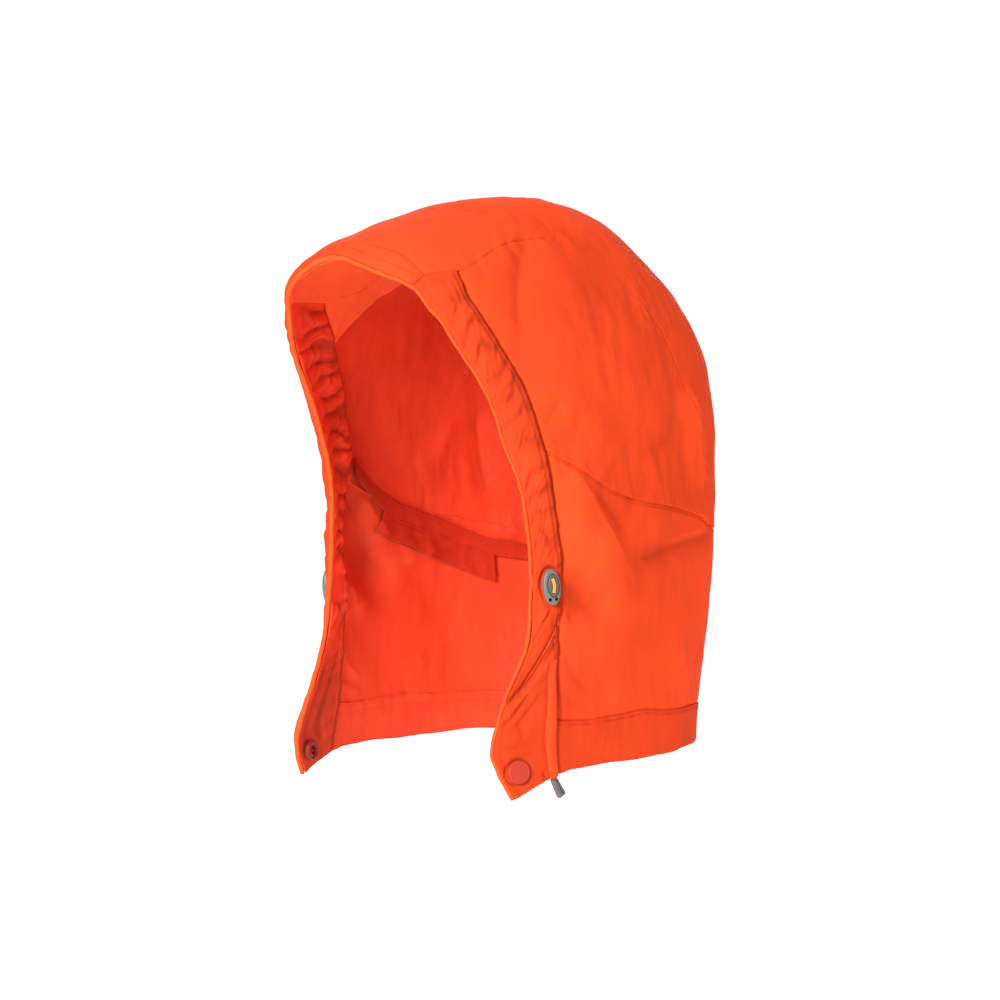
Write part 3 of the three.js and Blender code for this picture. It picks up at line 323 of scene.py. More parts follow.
class HoodForm:
    """The worn hood's shape: a point of its cloth for each direction out from the head."""

    def __init__(self, sizes):
        self.height, self.width, self.depth = sizes.height, sizes.width, sizes.depth
        self.cloth = sizes.cloth
        self.inside = -(sizes.cloth + LAYER_GAP)
        self.section = Curve([row[0] for row in SECTIONS], [row[1:] for row in SECTIONS])
        self.noise = Noise(11)
        self.folds = [
            (self.trace((start, end), 7), rise, spread, spread, False)
            for start, end, spread, rise in FOLDS
        ]
        self.creases = [
            (self.trace(places, 5 * len(places)), rise, upper, lower, True)
            for places, rise, upper, lower in CREASES
        ]

    def trace(self, places, count):
        places = np.array(places, float)
        if len(places) == 2:
            share = np.linspace(0, 1, count)[:, None]
            spot = places[0] * (1 - share) + places[1] * share
        else:
            spot = Curve(range(len(places)), places)(np.linspace(0, len(places) - 1, count))
        return self.point(way(spot[:, 0], spot[:, 1]))

    def point(self, toward):
        level = np.maximum(np.hypot(toward[..., 0], toward[..., 1]), 1e-6)
        share = np.where(toward[..., 2] >= 0, toward[..., 2], toward[..., 2] / level)
        up = SHOULDER + SHOULDER * share
        wide, middle, fore, aft, fore_square, aft_square = np.moveaxis(self.section(up), -1, 0)
        close = (1 - np.clip(share, 0, 0.99999) ** CROWN_ROUND) ** (1 / CROWN_ROUND)
        across, along = toward[..., 0] / level, toward[..., 1] / level
        square = np.where(along < 0, fore_square, aft_square)
        reach = close * (np.abs(across) ** square + np.abs(along) ** square) ** (-1 / square)
        return np.stack([
            self.width / 2 * wide * reach * across,
            self.depth * (middle + np.where(along < 0, fore, aft) * reach * along),
            self.cloth - self.height * (1 - up),
        ], axis=-1)

    def normal(self, toward):
        level = np.hypot(toward[..., 0], toward[..., 1])[..., None]
        side = np.stack([-toward[..., 1], toward[..., 0], np.zeros(toward.shape[:-1])], axis=-1)
        east = unit(np.where(level > 0.05, side, (1.0, 0.0, 0.0)))
        north = np.cross(toward, east)
        step = 0.01
        spans = [
            self.point(unit(toward + by * step)) - self.point(unit(toward - by * step))
            for by in (east, north)
        ]
        normal = unit(np.cross(*spans))
        return np.where(dot(normal, toward)[..., None] < 0, -normal, normal)

    def relief(self, point, lines):
        """How far the lines' folds lift the cloth at these points, the same on both sides."""
        place = on_left(point)
        total = np.zeros(place.shape[:-1])
        for trace, rise, upper, lower, sharp in lines:
            box_low, box_high = trace.min(axis=0) - 0.05, trace.max(axis=0) + 0.05
            close = np.all((place > box_low) & (place < box_high), axis=-1)
            if not close.any():
                continue
            spot = place[close]
            best, side, along = np.full(len(spot), np.inf), np.zeros(len(spot)), np.zeros(len(spot))
            for row, (a, b) in enumerate(zip(trace[:-1], trace[1:])):
                span = b - a
                share = np.clip(dot(spot - a, span) / dot(span, span), 0, 1)[:, None]
                off = spot - (a + share * span)
                far = np.linalg.norm(off, axis=-1)
                across = unit(np.cross(span, a - np.array((0, a[1] * 0.2, -self.height / 2))))
                flank = dot(off, across) / (far + 0.0004)
                side = np.where(far < best, flank, side)
                along = np.where(far < best, row + share[:, 0], along)
                best = np.minimum(best, far)
            if not sharp:
                total[close] += rise * np.exp(-((best / upper) ** 2))
                continue
            part = along / (len(trace) - 1)
            taper = (0.4 + 0.6 * ease(part, 0.0, 0.2)) * (1 - 0.9 * ease(part, 0.7, 1.0))
            width = upper + (lower - upper) * ease(side, -0.5, 0.5)
            soft = np.sqrt(best * best + 0.0006**2) - 0.0006
            total[close] += rise * taper * np.exp(-soft / width)
        return total

    def crumple(self, point):
        """Soft swells, patchy upright dents and a few fine creases of thin coated cloth."""
        noise = self.noise
        patchy = np.clip(noise(point / 0.036 + 7) * 1.4 + 0.55, 0.08, 1)
        swell = 0.0015 * noise(point / 0.05) + 0.0007 * noise(point / 0.024 + 41)
        crinkle = 0.00055 * noise(point / np.array((0.009, 0.009, 0.024)) + 3)
        dents = noise(point / np.array((0.006, 0.006, 0.014)) + 5)
        dents = -0.0009 * np.clip(dents - 0.25, 0, 1) + 0.00015 * dents
        return swell + (crinkle + dents) * patchy

    def lift(self, point):
        return self.relief(point, self.folds) + self.relief(point, self.creases) + self.crumple(point)


class Cut:
    """The piece of a line between two rows, read from 0 to 1 by its length."""

    def __init__(self, form, read, start, end, side=1):
        self.places = np.linspace(start, end, 161)
        self.read = read
        self.side = np.array((side, 1.0, 1.0))
        points = form.point(read(self.places))
        steps = np.linalg.norm(np.diff(points, axis=0), axis=-1)
        self.lengths = np.concatenate([[0], np.cumsum(steps)])
        self.whole = self.lengths[-1]

    def __call__(self, share):
        goal = np.clip(share, 0, 1) * self.whole
        return self.read(np.interp(goal, self.lengths, self.places)) * self.side

    def mirrored(self):
        twin = copy.copy(self)
        twin.side = self.side * (-1, 1, 1)
        return twin


class Area:
    """A patch of the body between four lines: first and last run across, start and end down."""

    def __init__(self, first, last, start, end):
        self.lines = first, last, start, end

    def __call__(self, u, v):
        first, last, start, end = self.lines
        a, b, c, d = (line(np.array(share)) for line in (first, last) for share in (0, 1))
        u, v = np.asarray(u, float), np.asarray(v, float)
        s, t = u[..., None], v[..., None]
        total = first(u) * (1 - t) + last(u) * t + start(v) * (1 - s) + end(v) * s
        return unit(total - a * (1 - s) * (1 - t) - b * s * (1 - t) - c * (1 - s) * t - d * s * t)

    def mirrored(self):
        return Area(*(line.mirrored() for line in self.lines))

    def within(self, low_u, high_u, low_v, high_v):
        """The same surface between shares of its width and length."""
        return lambda u, v: self(low_u + (high_u - low_u) * u, low_v + (high_v - low_v) * v)


def hood_areas(form):
    """The patches of the body that the pieces are cut from, on the wearer's left where sided."""
    def cut(rows, start, end, kind="left"):
        read = table_line(rows) if kind == "left" else both_sides(rows, kind == "arch")
        return Cut(form, read, start, end)

    def whole(rows, kind="left"):
        return cut(rows, 0, (len(rows) - 1) * (1 if kind == "left" else 2), kind)

    def both(first, last, side):
        return Area(first, last, side, side.mirrored())

    opening_end, cross_end = len(OPENING) - 1, 2 * (len(CROSS_SEAM) - 1)
    brow = cut(OPENING, opening_end - PEAK_END, opening_end + PEAK_END, "arch")
    front_edge = cut(OPENING, PEAK_END, opening_end)
    patch_ends = [
        whole((TAPE_LOW[row], PATCH_LOW[end])) for row, end in ((PATCH_FROM, 0), (PATCH_TO, -1))
    ]
    return {
        "crown": both(
            whole(PEAK_SEAM, "arch"), cut(CROSS_SEAM, CROSS_CROWN, cross_end - CROSS_CROWN, "wrap"),
            cut(CROWN_SEAM, CROWN_PEAK, len(CROWN_SEAM) - 1),
        ),
        "side": Area(
            cut(CROWN_SEAM, CROWN_CASING, CROWN_TURN), cut(CROSS_SEAM, 0, CROSS_CROWN, "wrap"),
            cut(CASING_SEAM, 0, CASING_CROSS), cut(CROWN_SEAM, CROWN_TURN, len(CROWN_SEAM) - 1),
        ),
        "neck": both(
            whole(CROSS_SEAM, "wrap"), whole(BAND_TOP, "wrap"),
            cut(CASING_SEAM, CASING_CROSS, CASING_BAND),
        ),
        "band": both(
            whole(BAND_TOP, "wrap"), whole(HEM, "wrap"),
            cut(CASING_SEAM, CASING_BAND, len(CASING_SEAM) - 1),
        ),
        "peak": both(brow, whole(PEAK_SEAM, "arch"), cut(CROWN_SEAM, 0, CROWN_PEAK)),
        "casing": Area(
            cut(CROWN_SEAM, 0, CROWN_CASING), whole(FLAP_HEM), front_edge, whole(CASING_SEAM),
        ),
        "facing": Area(whole(FACING_TOP), whole(FLAP_HEM), front_edge, whole(FACING_SEAM)),
        "lining": both(brow, whole(LINING_SEAM, "arch"), whole(FACING_TOP)),
        "crown_facing": both(
            whole(LINING_SEAM, "arch"), whole(CROWN_FACING_EDGE, "arch"),
            cut(FACING_SEAM, 0, FACING_CROWN),
        ),
        "tape": both(
            whole(TAPE_TOP, "wrap"), whole(TAPE_LOW, "wrap"), whole((TAPE_TOP[0], TAPE_LOW[0])),
        ),
        "patch": Area(
            cut(TAPE_LOW, PATCH_FROM, PATCH_TO, "wrap"), whole(PATCH_LOW), *patch_ends,
        ),
    }


def graded(length, fine, coarse, margin):
    """Shares of a length, close together near its two ends and wider apart between them."""
    margin = min(margin, length * 0.3)
    ends = max(2, round(margin / fine))
    middle = max(2, round((length - 2 * margin) / coarse))
    edge = margin / length
    return np.concatenate([
        np.linspace(0, edge, ends, endpoint=False),
        np.linspace(edge, 1 - edge, middle, endpoint=False),
        np.linspace(1 - edge, 1, ends + 1),
    ])


class Panel:
    """A patch's points, with the cloth's own distance from each to its four sides."""

    def __init__(self, form, area, fine, coarse, margin=0.004):
        self.form = form
        rough = form.point(area(*np.meshgrid(np.linspace(0, 1, 25), np.linspace(0, 1, 25))))
        wide = np.linalg.norm(np.diff(rough, axis=1), axis=-1).sum(axis=1).max()
        long = np.linalg.norm(np.diff(rough, axis=0), axis=-1).sum(axis=0).max()
        self.u, self.v = np.meshgrid(
            graded(wide, fine, coarse, margin), graded(long, fine, coarse, margin))
        self.way = area(self.u, self.v)
        self.point, self.normal = form.point(self.way), form.normal(self.way)
        across = np.cumsum(np.linalg.norm(np.diff(self.point, axis=1), axis=-1), axis=1)
        down = np.cumsum(np.linalg.norm(np.diff(self.point, axis=0), axis=-1), axis=0)
        across = np.pad(across, ((0, 0), (1, 0)))
        down = np.pad(down, ((1, 0), (0, 0)))
        self.to = {
            "start": across, "end": across[:, -1:] - across,
            "first": down, "last": down[-1:] - down,
        }
        self.foot = {
            "start": self.point[:, :1], "end": self.point[:, -1:],
            "first": self.point[:1], "last": self.point[-1:],
        }
        self.wide, self.long = across[:, -1:], down[-1:]
        self.cut = (float(self.wide.max()), float(self.long.max()))
        self.cloth_area = float(self.wide.mean() * self.long.mean())
        self.relief = form.lift(self.point)

    def worked(self, *rows):
        """What is done along the sides, summed: each row is a way, its sides and its numbers."""
        return sum(
            getattr(self, how)(side, *numbers) for how, sides, *numbers in rows for side in sides.split()
        )

    def groove(self, side, depth, width, at=0.0):
        return -depth * bell(self.to[side] - at, width)

    def shown(self, side):
        """How much a seam shows: the crown's seams lie flat where they pass over the ears."""
        foot = self.foot[side]
        return 1 - 0.72 * bell(foot[..., 1] + 0.002, 0.034) * ease(foot[..., 2], -0.11, -0.07)

    def seam(self, side, depth, width):
        """The dip where two panels meet, which deepens and fades along its length."""
        uneven = 1 + 0.35 * self.form.noise(self.foot[side] / 0.012 + 19)
        return self.groove(side, depth, width) * uneven * self.shown(side)

    def pucker(self, side, depth, pitch=0.006, reach=0.008):
        """Small tucks that run in from a seam."""
        along = self.form.noise(self.foot[side] / pitch + 13)
        finer = self.form.noise(self.foot[side] / (pitch * 0.45) + 31)
        return depth * (along + 0.5 * finer) * np.exp(-self.to[side] / reach) * self.shown(side)

    def let_out(self, side, much, over=0.006):
        """Carry the cloth on past one of its sides, for a fold that reaches the rolled edge."""
        beside = {
            "start": self.point[:, :1] - self.point[:, 1:2],
            "first": self.point[:1] - self.point[1:2],
        }[side]
        self.point = self.point + unit(beside) * (much * (1 - ease(self.to[side], 0, over)))[..., None]

    def rounded(self, side, width, drop):
        """A folded edge that turns down over the last of its width."""
        part = np.clip(1 - self.to[side] / width, 0, 1)
        return -drop * (1 - np.sqrt(np.maximum(1 - part * part, 0)))


def cloth_mesh(name, panel, outer, inner, finishes, bulge=0.3, hollow=0.0, hollow_back=0.0):
    """A closed sheet over a panel's points, with its edges turned round and painted shade marked in its
    folds.
    """
    rows, columns = panel.u.shape
    over = panel.point + panel.normal * (panel.relief + outer)[..., None]
    under = panel.point + panel.normal * (panel.relief + inner)[..., None]
    index = np.arange(rows * columns).reshape(rows, columns)
    ring = np.concatenate([index[0, :-1], index[:-1, -1], index[-1, :0:-1], index[:0:-1, 0]])
    within = np.clip(np.stack(np.unravel_index(ring, (rows, columns))), 1, [[rows - 2], [columns - 2]])
    flat_over, flat_under = over.reshape(-1, 3), under.reshape(-1, 3)
    count = rows * columns
    away = unit(flat_over[ring] - over[within[0], within[1]])
    middle = (flat_over[ring] + flat_under[ring]) / 2
    half = (flat_over[ring] - flat_under[ring]) / 2
    thick = np.linalg.norm(half, axis=-1, keepdims=True)
    rims = [
        middle + half * math.cos(angle) + away * thick * bulge * math.sin(angle)
        for angle in (math.pi / 4, math.pi / 2, 3 * math.pi / 4)
    ]
    points = np.concatenate([flat_over, flat_under] + rims)
    a, b, c, d = index[:-1, :-1], index[:-1, 1:], index[1:, 1:], index[1:, :-1]
    face = np.stack([a, b, c, d], axis=-1).reshape(-1, 4)
    back = np.stack([a, d, c, b], axis=-1).reshape(-1, 4) + count
    loops = [ring] + [2 * count + k * len(ring) + np.arange(len(ring)) for k in range(3)] + [ring + count]
    edge = np.concatenate([
        np.stack([np.roll(low, -1), low, high, np.roll(high, -1)], axis=-1)
        for low, high in zip(loops[:-1], loops[1:])
    ])
    quads = np.concatenate([face, edge, back])
    centre = points.mean(axis=0)
    corner = [points[quads[:, k]] - centre for k in range(4)]
    volume = dot(corner[0], np.cross(corner[1], corner[2])).sum()
    volume += dot(corner[0], np.cross(corner[2], corner[3])).sum()
    if volume < 0:
        quads = quads[:, ::-1]
    kind = np.concatenate([np.zeros(len(face)), np.zeros(len(edge)), np.ones(len(back))]).astype(int)
    spread = np.stack([panel.to["start"] - panel.wide / 2, panel.to["first"]], axis=-1).reshape(-1, 2)
    spread = np.concatenate([spread, spread] + [spread[ring]] * 3)
    mesh = bpy.data.meshes.new(name)
    mesh.from_pydata(points.tolist(), [], quads.tolist())
    for finish in finishes:
        mesh.materials.append(finish)
    mesh.polygons.foreach_set("material_index", kind if len(finishes) > 1 else kind * 0)
    mesh.polygons.foreach_set("use_smooth", np.ones(len(quads), bool))
    # Painted shade per point: outside it is darkest deep in the folds, inside where the cloth swells out,
    # plus the amounts given.
    painted_shade_amounts = np.clip([
        FLAT_SHADE + hollow - panel.relief / FOLD_SHADE_DEPTH, hollow_back + panel.relief / FOLD_SHADE_DEPTH_INSIDE,
    ], 0, 1).reshape(2, -1)
    painted_shade_amounts = np.concatenate([painted_shade_amounts[0], painted_shade_amounts[1]] + [painted_shade_amounts[0][ring]] * 3)
    mesh.attributes.new("hollow", "FLOAT", "POINT").data.foreach_set("value", painted_shade_amounts.astype(np.float32))
    uv = mesh.uv_layers.new(name="cloth")
    uv.data.foreach_set("uv", spread[quads.ravel()].ravel().astype(np.float32))
    mesh.update()
    return add_piece(name, mesh)


def add_piece(name, mesh):
    piece = bpy.data.objects.new(name, mesh)
    bpy.context.scene.collection.objects.link(piece)
    return piece


def settle(piece, node, body="hood"):
    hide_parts(node)
    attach(piece, body)


def sew(name, node, slot, held, panel, outer, inner, finishes, turned=0.0, **marks):
    piece = cloth_mesh(name, panel, outer, inner, [looks()[key] for key in finishes], **marks)
    settle(piece, node)


class Flow:
    """A value in a material, so that shader maths reads as an expression."""

    def __init__(self, shader, socket):
        self.shader, self.socket = shader, socket

    def math(self, operation, *values):
        return self.shader.node("ShaderNodeMath", {"operation": operation}, dict(enumerate(values)))

    def __add__(self, other):
        return self.math("ADD", self, other)

    __radd__ = __add__

    def __sub__(self, other):
        return self.math("SUBTRACT", self, other)

    def __rsub__(self, other):
        return self.math("SUBTRACT", other, self)

    def __mul__(self, other):
        return self.math("MULTIPLY", self, other)

    __rmul__ = __mul__

    def sine(self):
        return self.math("SINE", self)

    def size(self):
        return self.math("ABSOLUTE", self)

    def above(self, edge):
        return self.math("GREATER_THAN", self, edge)

    def between(self, low, high):
        return self.shader.node("ShaderNodeMapRange", {"interpolation_type": "SMOOTHSTEP"},
                                {"Value": self, "From Min": low, "From Max": high})


class Shader:
    """A material built from nodes by type."""

    def __init__(self, name):
        self.material = bpy.data.materials.new(name)
        self.material.use_nodes = True
        self.tree = self.material.node_tree
        self.tree.nodes.clear()

    def node(self, kind, settings=None, values=None, output=0):
        made = self.tree.nodes.new(kind)
        for key, value in (settings or {}).items():
            setattr(made, key, value)
        for key, value in (values or {}).items():
            if isinstance(value, Flow):
                self.tree.links.new(value.socket, made.inputs[key])
            else:
                made.inputs[key].default_value = value
        return None if output is None else Flow(self, made.outputs[output])

    def mix(self, share, one, other):
        return self.node("ShaderNodeMix", {"data_type": "RGBA"}, {0: share, 6: one, 7: other}, 2)

    def noise(self, place, scale, detail=2.0, rough=0.5):
        return self.node("ShaderNodeTexNoise", None,
                         {"Vector": place, "Scale": scale, "Detail": detail, "Roughness": rough})

    def stretched(self, place, size):
        return self.node("ShaderNodeVectorMath", {"operation": "MULTIPLY"}, {0: place, 1: size})

    def hollow(self):
        """Painted shade from 0 to 1, most where the cloth lies deep in a fold."""
        return self.node("ShaderNodeAttribute", {"attribute_name": "hollow"}, None, 2)

    def place(self):
        return self.node("ShaderNodeTexCoord", output="Object")

    def bump(self, height, distance, strength=1.0, normal=None):
        values = {"Height": height, "Distance": distance, "Strength": strength}
        if normal is not None:
            values["Normal"] = normal
        return self.node("ShaderNodeBump", None, values)

    def finish(self, values):
        surface = self.node("ShaderNodeBsdfPrincipled", None, values)
        self.node("ShaderNodeOutputMaterial", None, {"Surface": surface}, None)
        return self.material


def linear(colour):
    """A colour as the eye reads it, in the light that the renderer works in."""
    parts = [c / 12.92 if c <= 0.04045 else ((c + 0.055) / 1.055) ** 2.4 for c in colour]
    return (*parts, 1.0)


def toned(colour, much):
    return tuple(min(1.0, max(0.0, c * much)) for c in colour)


def woven(name, colour, deep, pitch, glow=0.0):
    """Fine plain-woven cloth: threads over and under, uneven dye, small crinkles and painted shade in its
    folds, with a painted glow where one is given.
    """
    shader = Shader(name)
    place = shader.place()
    spread = shader.node("ShaderNodeUVMap", {"uv_map": "cloth"})
    parts = shader.node("ShaderNodeSeparateXYZ", None, {0: spread})
    weft = Flow(shader, parts.socket.node.outputs[1])
    warp_wave = (parts * (math.pi / pitch)).sine()
    weft_wave = (weft * (math.pi / pitch)).sine()
    over = (warp_wave * weft_wave).above(0.0)
    threads = warp_wave.size() * (over * 0.5 + 0.5) + weft_wave.size() * (1.0 - over * 0.5)
    dye = shader.noise(place, 22.0, 3.0)
    slub = shader.noise(shader.stretched(place, (900.0, 900.0, 90.0)), 1.0, 1.0)
    shade = dye * 0.7 + slub * 0.3 + threads * 0.06
    tint = shader.mix(shade.between(0.3, 0.75), linear(deep), linear(colour))
    # Painted shade: darker towards the deep tone where the painted-shade attribute marks a fold.
    tint = shader.mix(shader.hollow(), tint, linear(toned(deep, 0.72)))
    small = shader.noise(shader.stretched(place, (240.0, 240.0, 150.0)), 1.0, 3.0, 0.55)
    normal = shader.bump(threads, 0.00003, 0.5, shader.bump(small, 0.0002))
    return shader.finish({
        "Base Color": tint, "Roughness": dye * 0.12 + 0.68, "Normal": normal,
        # Emission: a painted glow in the cloth's own colour, for light through the thin cloth.
        "Specular IOR Level": 0.05, "Emission Color": linear(colour), "Emission Strength": glow,
    })


def coated(name, colour, deep, rough=0.62):
    """The cloth's coated back: smoother, redder and a little waxy, with painted shade in its folds."""
    shader = Shader(name)
    place = shader.place()
    patch = shader.noise(place, 14.0, 3.0)
    small = shader.noise(shader.stretched(place, (170.0, 170.0, 110.0)), 1.0, 3.0)
    tint = shader.mix((patch * 0.8 + small * 0.2).between(0.3, 0.72), linear(deep), linear(colour))
    # Painted shade: darker towards the deep tone where the painted-shade attribute marks a fold.
    tint = shader.mix(shader.hollow(), tint, linear(toned(deep, 0.72)))
    normal = shader.bump(small, 0.0002)
    return shader.finish({
        "Base Color": tint, "Roughness": small * 0.15 + (rough - 0.07), "Normal": normal,
        "Specular IOR Level": 0.14,
    })


def moulded(name, colour, rough, shine=0.4):
    """Moulded plastic or painted metal with fine grain and rubbed tone."""
    shader = Shader(name)
    place = shader.place()
    rub = shader.noise(place, 420.0, 3.0)
    fine = shader.noise(place, 2600.0, 2.0)
    tint = shader.mix(rub.between(0.2, 0.8), linear(toned(colour, 0.97)), linear(toned(colour, 1.03)))
    return shader.finish({
        "Base Color": tint, "Roughness": rub * 0.2 + (rough - 0.1),
        "Normal": shader.bump(fine, 0.00001), "Specular IOR Level": shine,
    })


def in_metres(name, description, default):
    return FloatProperty(name=name, description=description, default=default, unit="LENGTH")


def in_watts(name, description, default):
    return FloatProperty(name=name, description=description, default=default, unit="POWER")


def as_colour(name, description, default):
    return FloatVectorProperty(
        name=name, description=description, default=default, subtype="COLOR_GAMMA", size=3)


class HoodSizes(bpy.types.PropertyGroup):
    """The hood's main sizes and how much its cloth is gathered."""

    height: in_metres("Height", "Hem to crown", 0.342)
    width: in_metres("Width", "Side to side", 0.212)
    depth: in_metres("Depth", "Scale of the sections, front to back", 0.25)
    cloth: in_metres("Cloth", "Thickness of the shell cloth", 0.0016)
    gather: in_metres("Gather", "Height of the casing's puckers", 0.0027)
    gather_pitch: in_metres("Gather pitch", "Length from pucker to pucker", 0.0145)
    weave: in_metres("Weave", "Thread to thread", 0.00055)
    stitch: in_metres("Stitch", "Length of a stitch", 0.0026)
    coarse: in_metres("Cell", "Length of a cell of cloth", 0.0018)


class HoodColours(bpy.types.PropertyGroup):
    """The colours of the cloth and hardware."""

    shell: as_colour("Shell", "Outside cloth", (0.95, 0.286, 0.124))
    inside: as_colour("Inside", "Coated back of the cloth", (0.91, 0.285, 0.16))
    # The facing and the lining are lighter than the shell: painted light.
    facing: as_colour("Facing", "Turned-in casing", (0.95, 0.31, 0.19))
    lining: as_colour("Lining", "Cloth turned in behind the peak", (0.93, 0.37, 0.21))
    # The tape and patches are painted darker than the coated back: painted shade.
    tape: as_colour("Tape", "Seam tape and patches", (0.767, 0.203, 0.115))
    # The rolled edge is a little lighter than the shell: painted highlight.
    edge: as_colour("Edge", "Rolled edge", (0.95, 0.34, 0.15))
    snap: as_colour("Snap", "Painted snaps", (0.7, 0.215, 0.14))
    lock: as_colour("Lock", "Cord lock", (0.42, 0.4, 0.385))
    bar: as_colour("Bar", "Bar on the lock's button", (0.93, 0.56, 0.3))
    tab: as_colour("Cord end", "Moulded cord end", (0.37, 0.36, 0.36))


class HoodLight(bpy.types.PropertyGroup):
    """The studio round the hood."""

    key: in_watts("Front", "Power of the light before the face", 29.0)
    fill: in_watts("Side", "Power of the soft side light", 8.5)
    top: in_watts("Top", "Power of the light overhead", 6.5)
    back: in_watts("Back", "Power of the light behind", 14.0)
    sky: FloatProperty(name="Sky", description="Strength of the surround's own light", default=0.3)
    glow: FloatProperty(name="Floor", description="Light of the floor's own", default=0.5)
    distance: in_metres("Distance", "Camera from the hood's axis", 1.15)


LOOKS = {}


def looks():
    """The cloth and hardware finishes, made once."""
    if LOOKS:
        return LOOKS
    sizes, paint = bpy.context.scene.hood_sizes, bpy.context.scene.hood_colours
    LOOKS.update({
        key: woven(name, toned(colour, light), toned(colour, deep), sizes.weave, glow)
        for key, name, colour, light, deep, glow in (
            ("shell", "shell_cloth", paint.shell, 1, 0.95, 0),
            # Hem band and casing are darker copies of the shell: painted shade where the doubled cloth
            # lets less light through.
            ("band", "hem_cloth", paint.shell, 0.92, 0.87, 0),
            ("casing", "casing_cloth", paint.shell, 0.91, 0.86, 0),
            # Facing and turned-in cloth get a glow of their own: painted light through the thin cloth and
            # from below.
            ("facing", "facing_cloth", paint.facing, 1, 0.92, 0.08),
            ("lining", "turned_in_cloth", paint.lining, 1, 0.94, 0.2),
            ("edge", "rolled_edge_cloth", paint.edge, 1, 0.95, 0),
        )
    })
    LOOKS.update({
        "inside": coated("coated_back", paint.inside, toned(paint.inside, 0.9)),
        # Painted shade: the tape's darker colour.
        "tape": coated("seam_tape_cloth", paint.tape, toned(paint.tape, 0.85), 0.5),
        "thread": moulded("thread", toned(paint.shell, 0.86), 0.8, shine=0.05),
        "snap": moulded("painted_snap", paint.snap, 0.5, shine=0.2),
        # The socket is a darker copy of the snap's paint: painted shade.
        "socket": moulded("painted_socket", toned(paint.snap, 0.75), 0.5, shine=0.2),
        "lock": moulded("lock_plastic", paint.lock, 0.4),
        "button": moulded("button_plastic", toned(paint.lock, 0.82), 0.38),
        "bar": moulded("bar_plastic", paint.bar, 0.42),
        "tab": moulded("cord_end_plastic", paint.tab, 0.36),
    })
    return LOOKS


def workshop():
    """The hood's form, its areas, its sizes and the lengths of a fine and a coarse cell."""
    sizes = bpy.context.scene.hood_sizes
    form = HoodForm(sizes)
    coarse = sizes.coarse * 1
    return form, hood_areas(form), sizes, (coarse * 0.3, coarse)


def sided(area):
    return (("left", area), ("right", area.mirrored()))


def pressed(tucks):
    """Less of the tucks shows inside, where they lie against the next layer."""
    return np.maximum(tucks * 0.6, -0.0002)


class HOOD_OT_crown(bpy.types.Operator):
    """Sew the crown panel, from the peak over the head to the cross seam"""

    bl_idname = "hood.crown"
    bl_label = "Crown"

    def execute(self, context):
        form, areas, sizes, cells = workshop()
        panel = Panel(form, areas["crown"], *cells)
        tucks = panel.worked(("pucker", "start end last", *TUCKS))
        outer = tucks + panel.worked(
            ("seam", "start end last", *SEAM_DIP), ("groove", "first", 0.0006, 0.001))
        sew("crown", "crown_panel", "shell", "hung", panel, outer, pressed(tucks) - form.cloth,
            ("shell", "inside"))
        return {"FINISHED"}


class HOOD_OT_sides(bpy.types.Operator):
    """Sew the two side panels between the casing, the crown and the cross seam"""

    bl_idname = "hood.sides"
    bl_label = "Sides"

    def execute(self, context):
        form, areas, sizes, cells = workshop()
        for name, area in sided(areas["side"]):
            panel = Panel(form, area, *cells)
            tucks = panel.worked(
                ("pucker", "first end last", *TUCKS), ("pucker", "start", 0.0006, 0.009, 0.011))
            outer = tucks + panel.worked(
                ("seam", "first end last", *SEAM_DIP), ("groove", "start", 0.0016, 0.0016))
            sew(f"side_{name}", f"side_panel_{name}", "shell", "hung", panel, outer,
                pressed(tucks) - form.cloth, ("shell", "inside"))
        return {"FINISHED"}


class HOOD_OT_neck(bpy.types.Operator):
    """Sew the neck panel that wraps the nape from casing to casing"""

    bl_idname = "hood.neck"
    bl_label = "Neck"

    def execute(self, context):
        form, areas, sizes, cells = workshop()
        panel = Panel(form, areas["neck"], *cells)
        tucks = panel.worked(
            ("pucker", "first", 0.0006), ("pucker", "last", 0.0004, 0.005, 0.006),
            ("pucker", "start end", 0.0006, 0.009, 0.01))
        outer = tucks + panel.worked(
            ("seam", "first", 0.0009, 0.0009), ("groove", "first", 0.00035, 0.0006, 0.0019),
            ("groove", "last", 0.0008, 0.001), ("groove", "start end", 0.0026, 0.0024))
        sew("neck", "neck_panel", "shell", "hung", panel, outer,
            np.minimum(pressed(tucks), outer) - form.cloth, ("shell", "inside"))
        return {"FINISHED"}


class HOOD_OT_hem_band(bpy.types.Operator):
    """Fold the band along the hem"""

    bl_idname = "hood.hem_band"
    bl_label = "Hem band"

    def execute(self, context):
        form, areas, sizes, cells = workshop()
        panel = Panel(form, areas["band"], *cells)
        outer = 0.0009 + panel.worked(
            ("rounded", "first", 0.0012, 0.0008), ("rounded", "last", 0.0014, 0.0008),
            ("groove", "first", 0.0004, 0.0006, 0.0018), ("groove", "start end", 0.0014, 0.0016),
            ("pucker", "first", 0.0005, 0.005, 0.007), ("pucker", "last", 0.0003, 0.008, 0.006))
        inner = -form.cloth - 0.0004 + panel.worked(
            ("pucker", "first", -0.0006, 0.006, 0.014), ("groove", "first", -0.0006, 0.0008, 0.0045))
        sew("hem", "hem_band", "shell_deep", "folded", panel, outer, inner, ("band", "inside"),
            bulge=0.9)
        return {"FINISHED"}


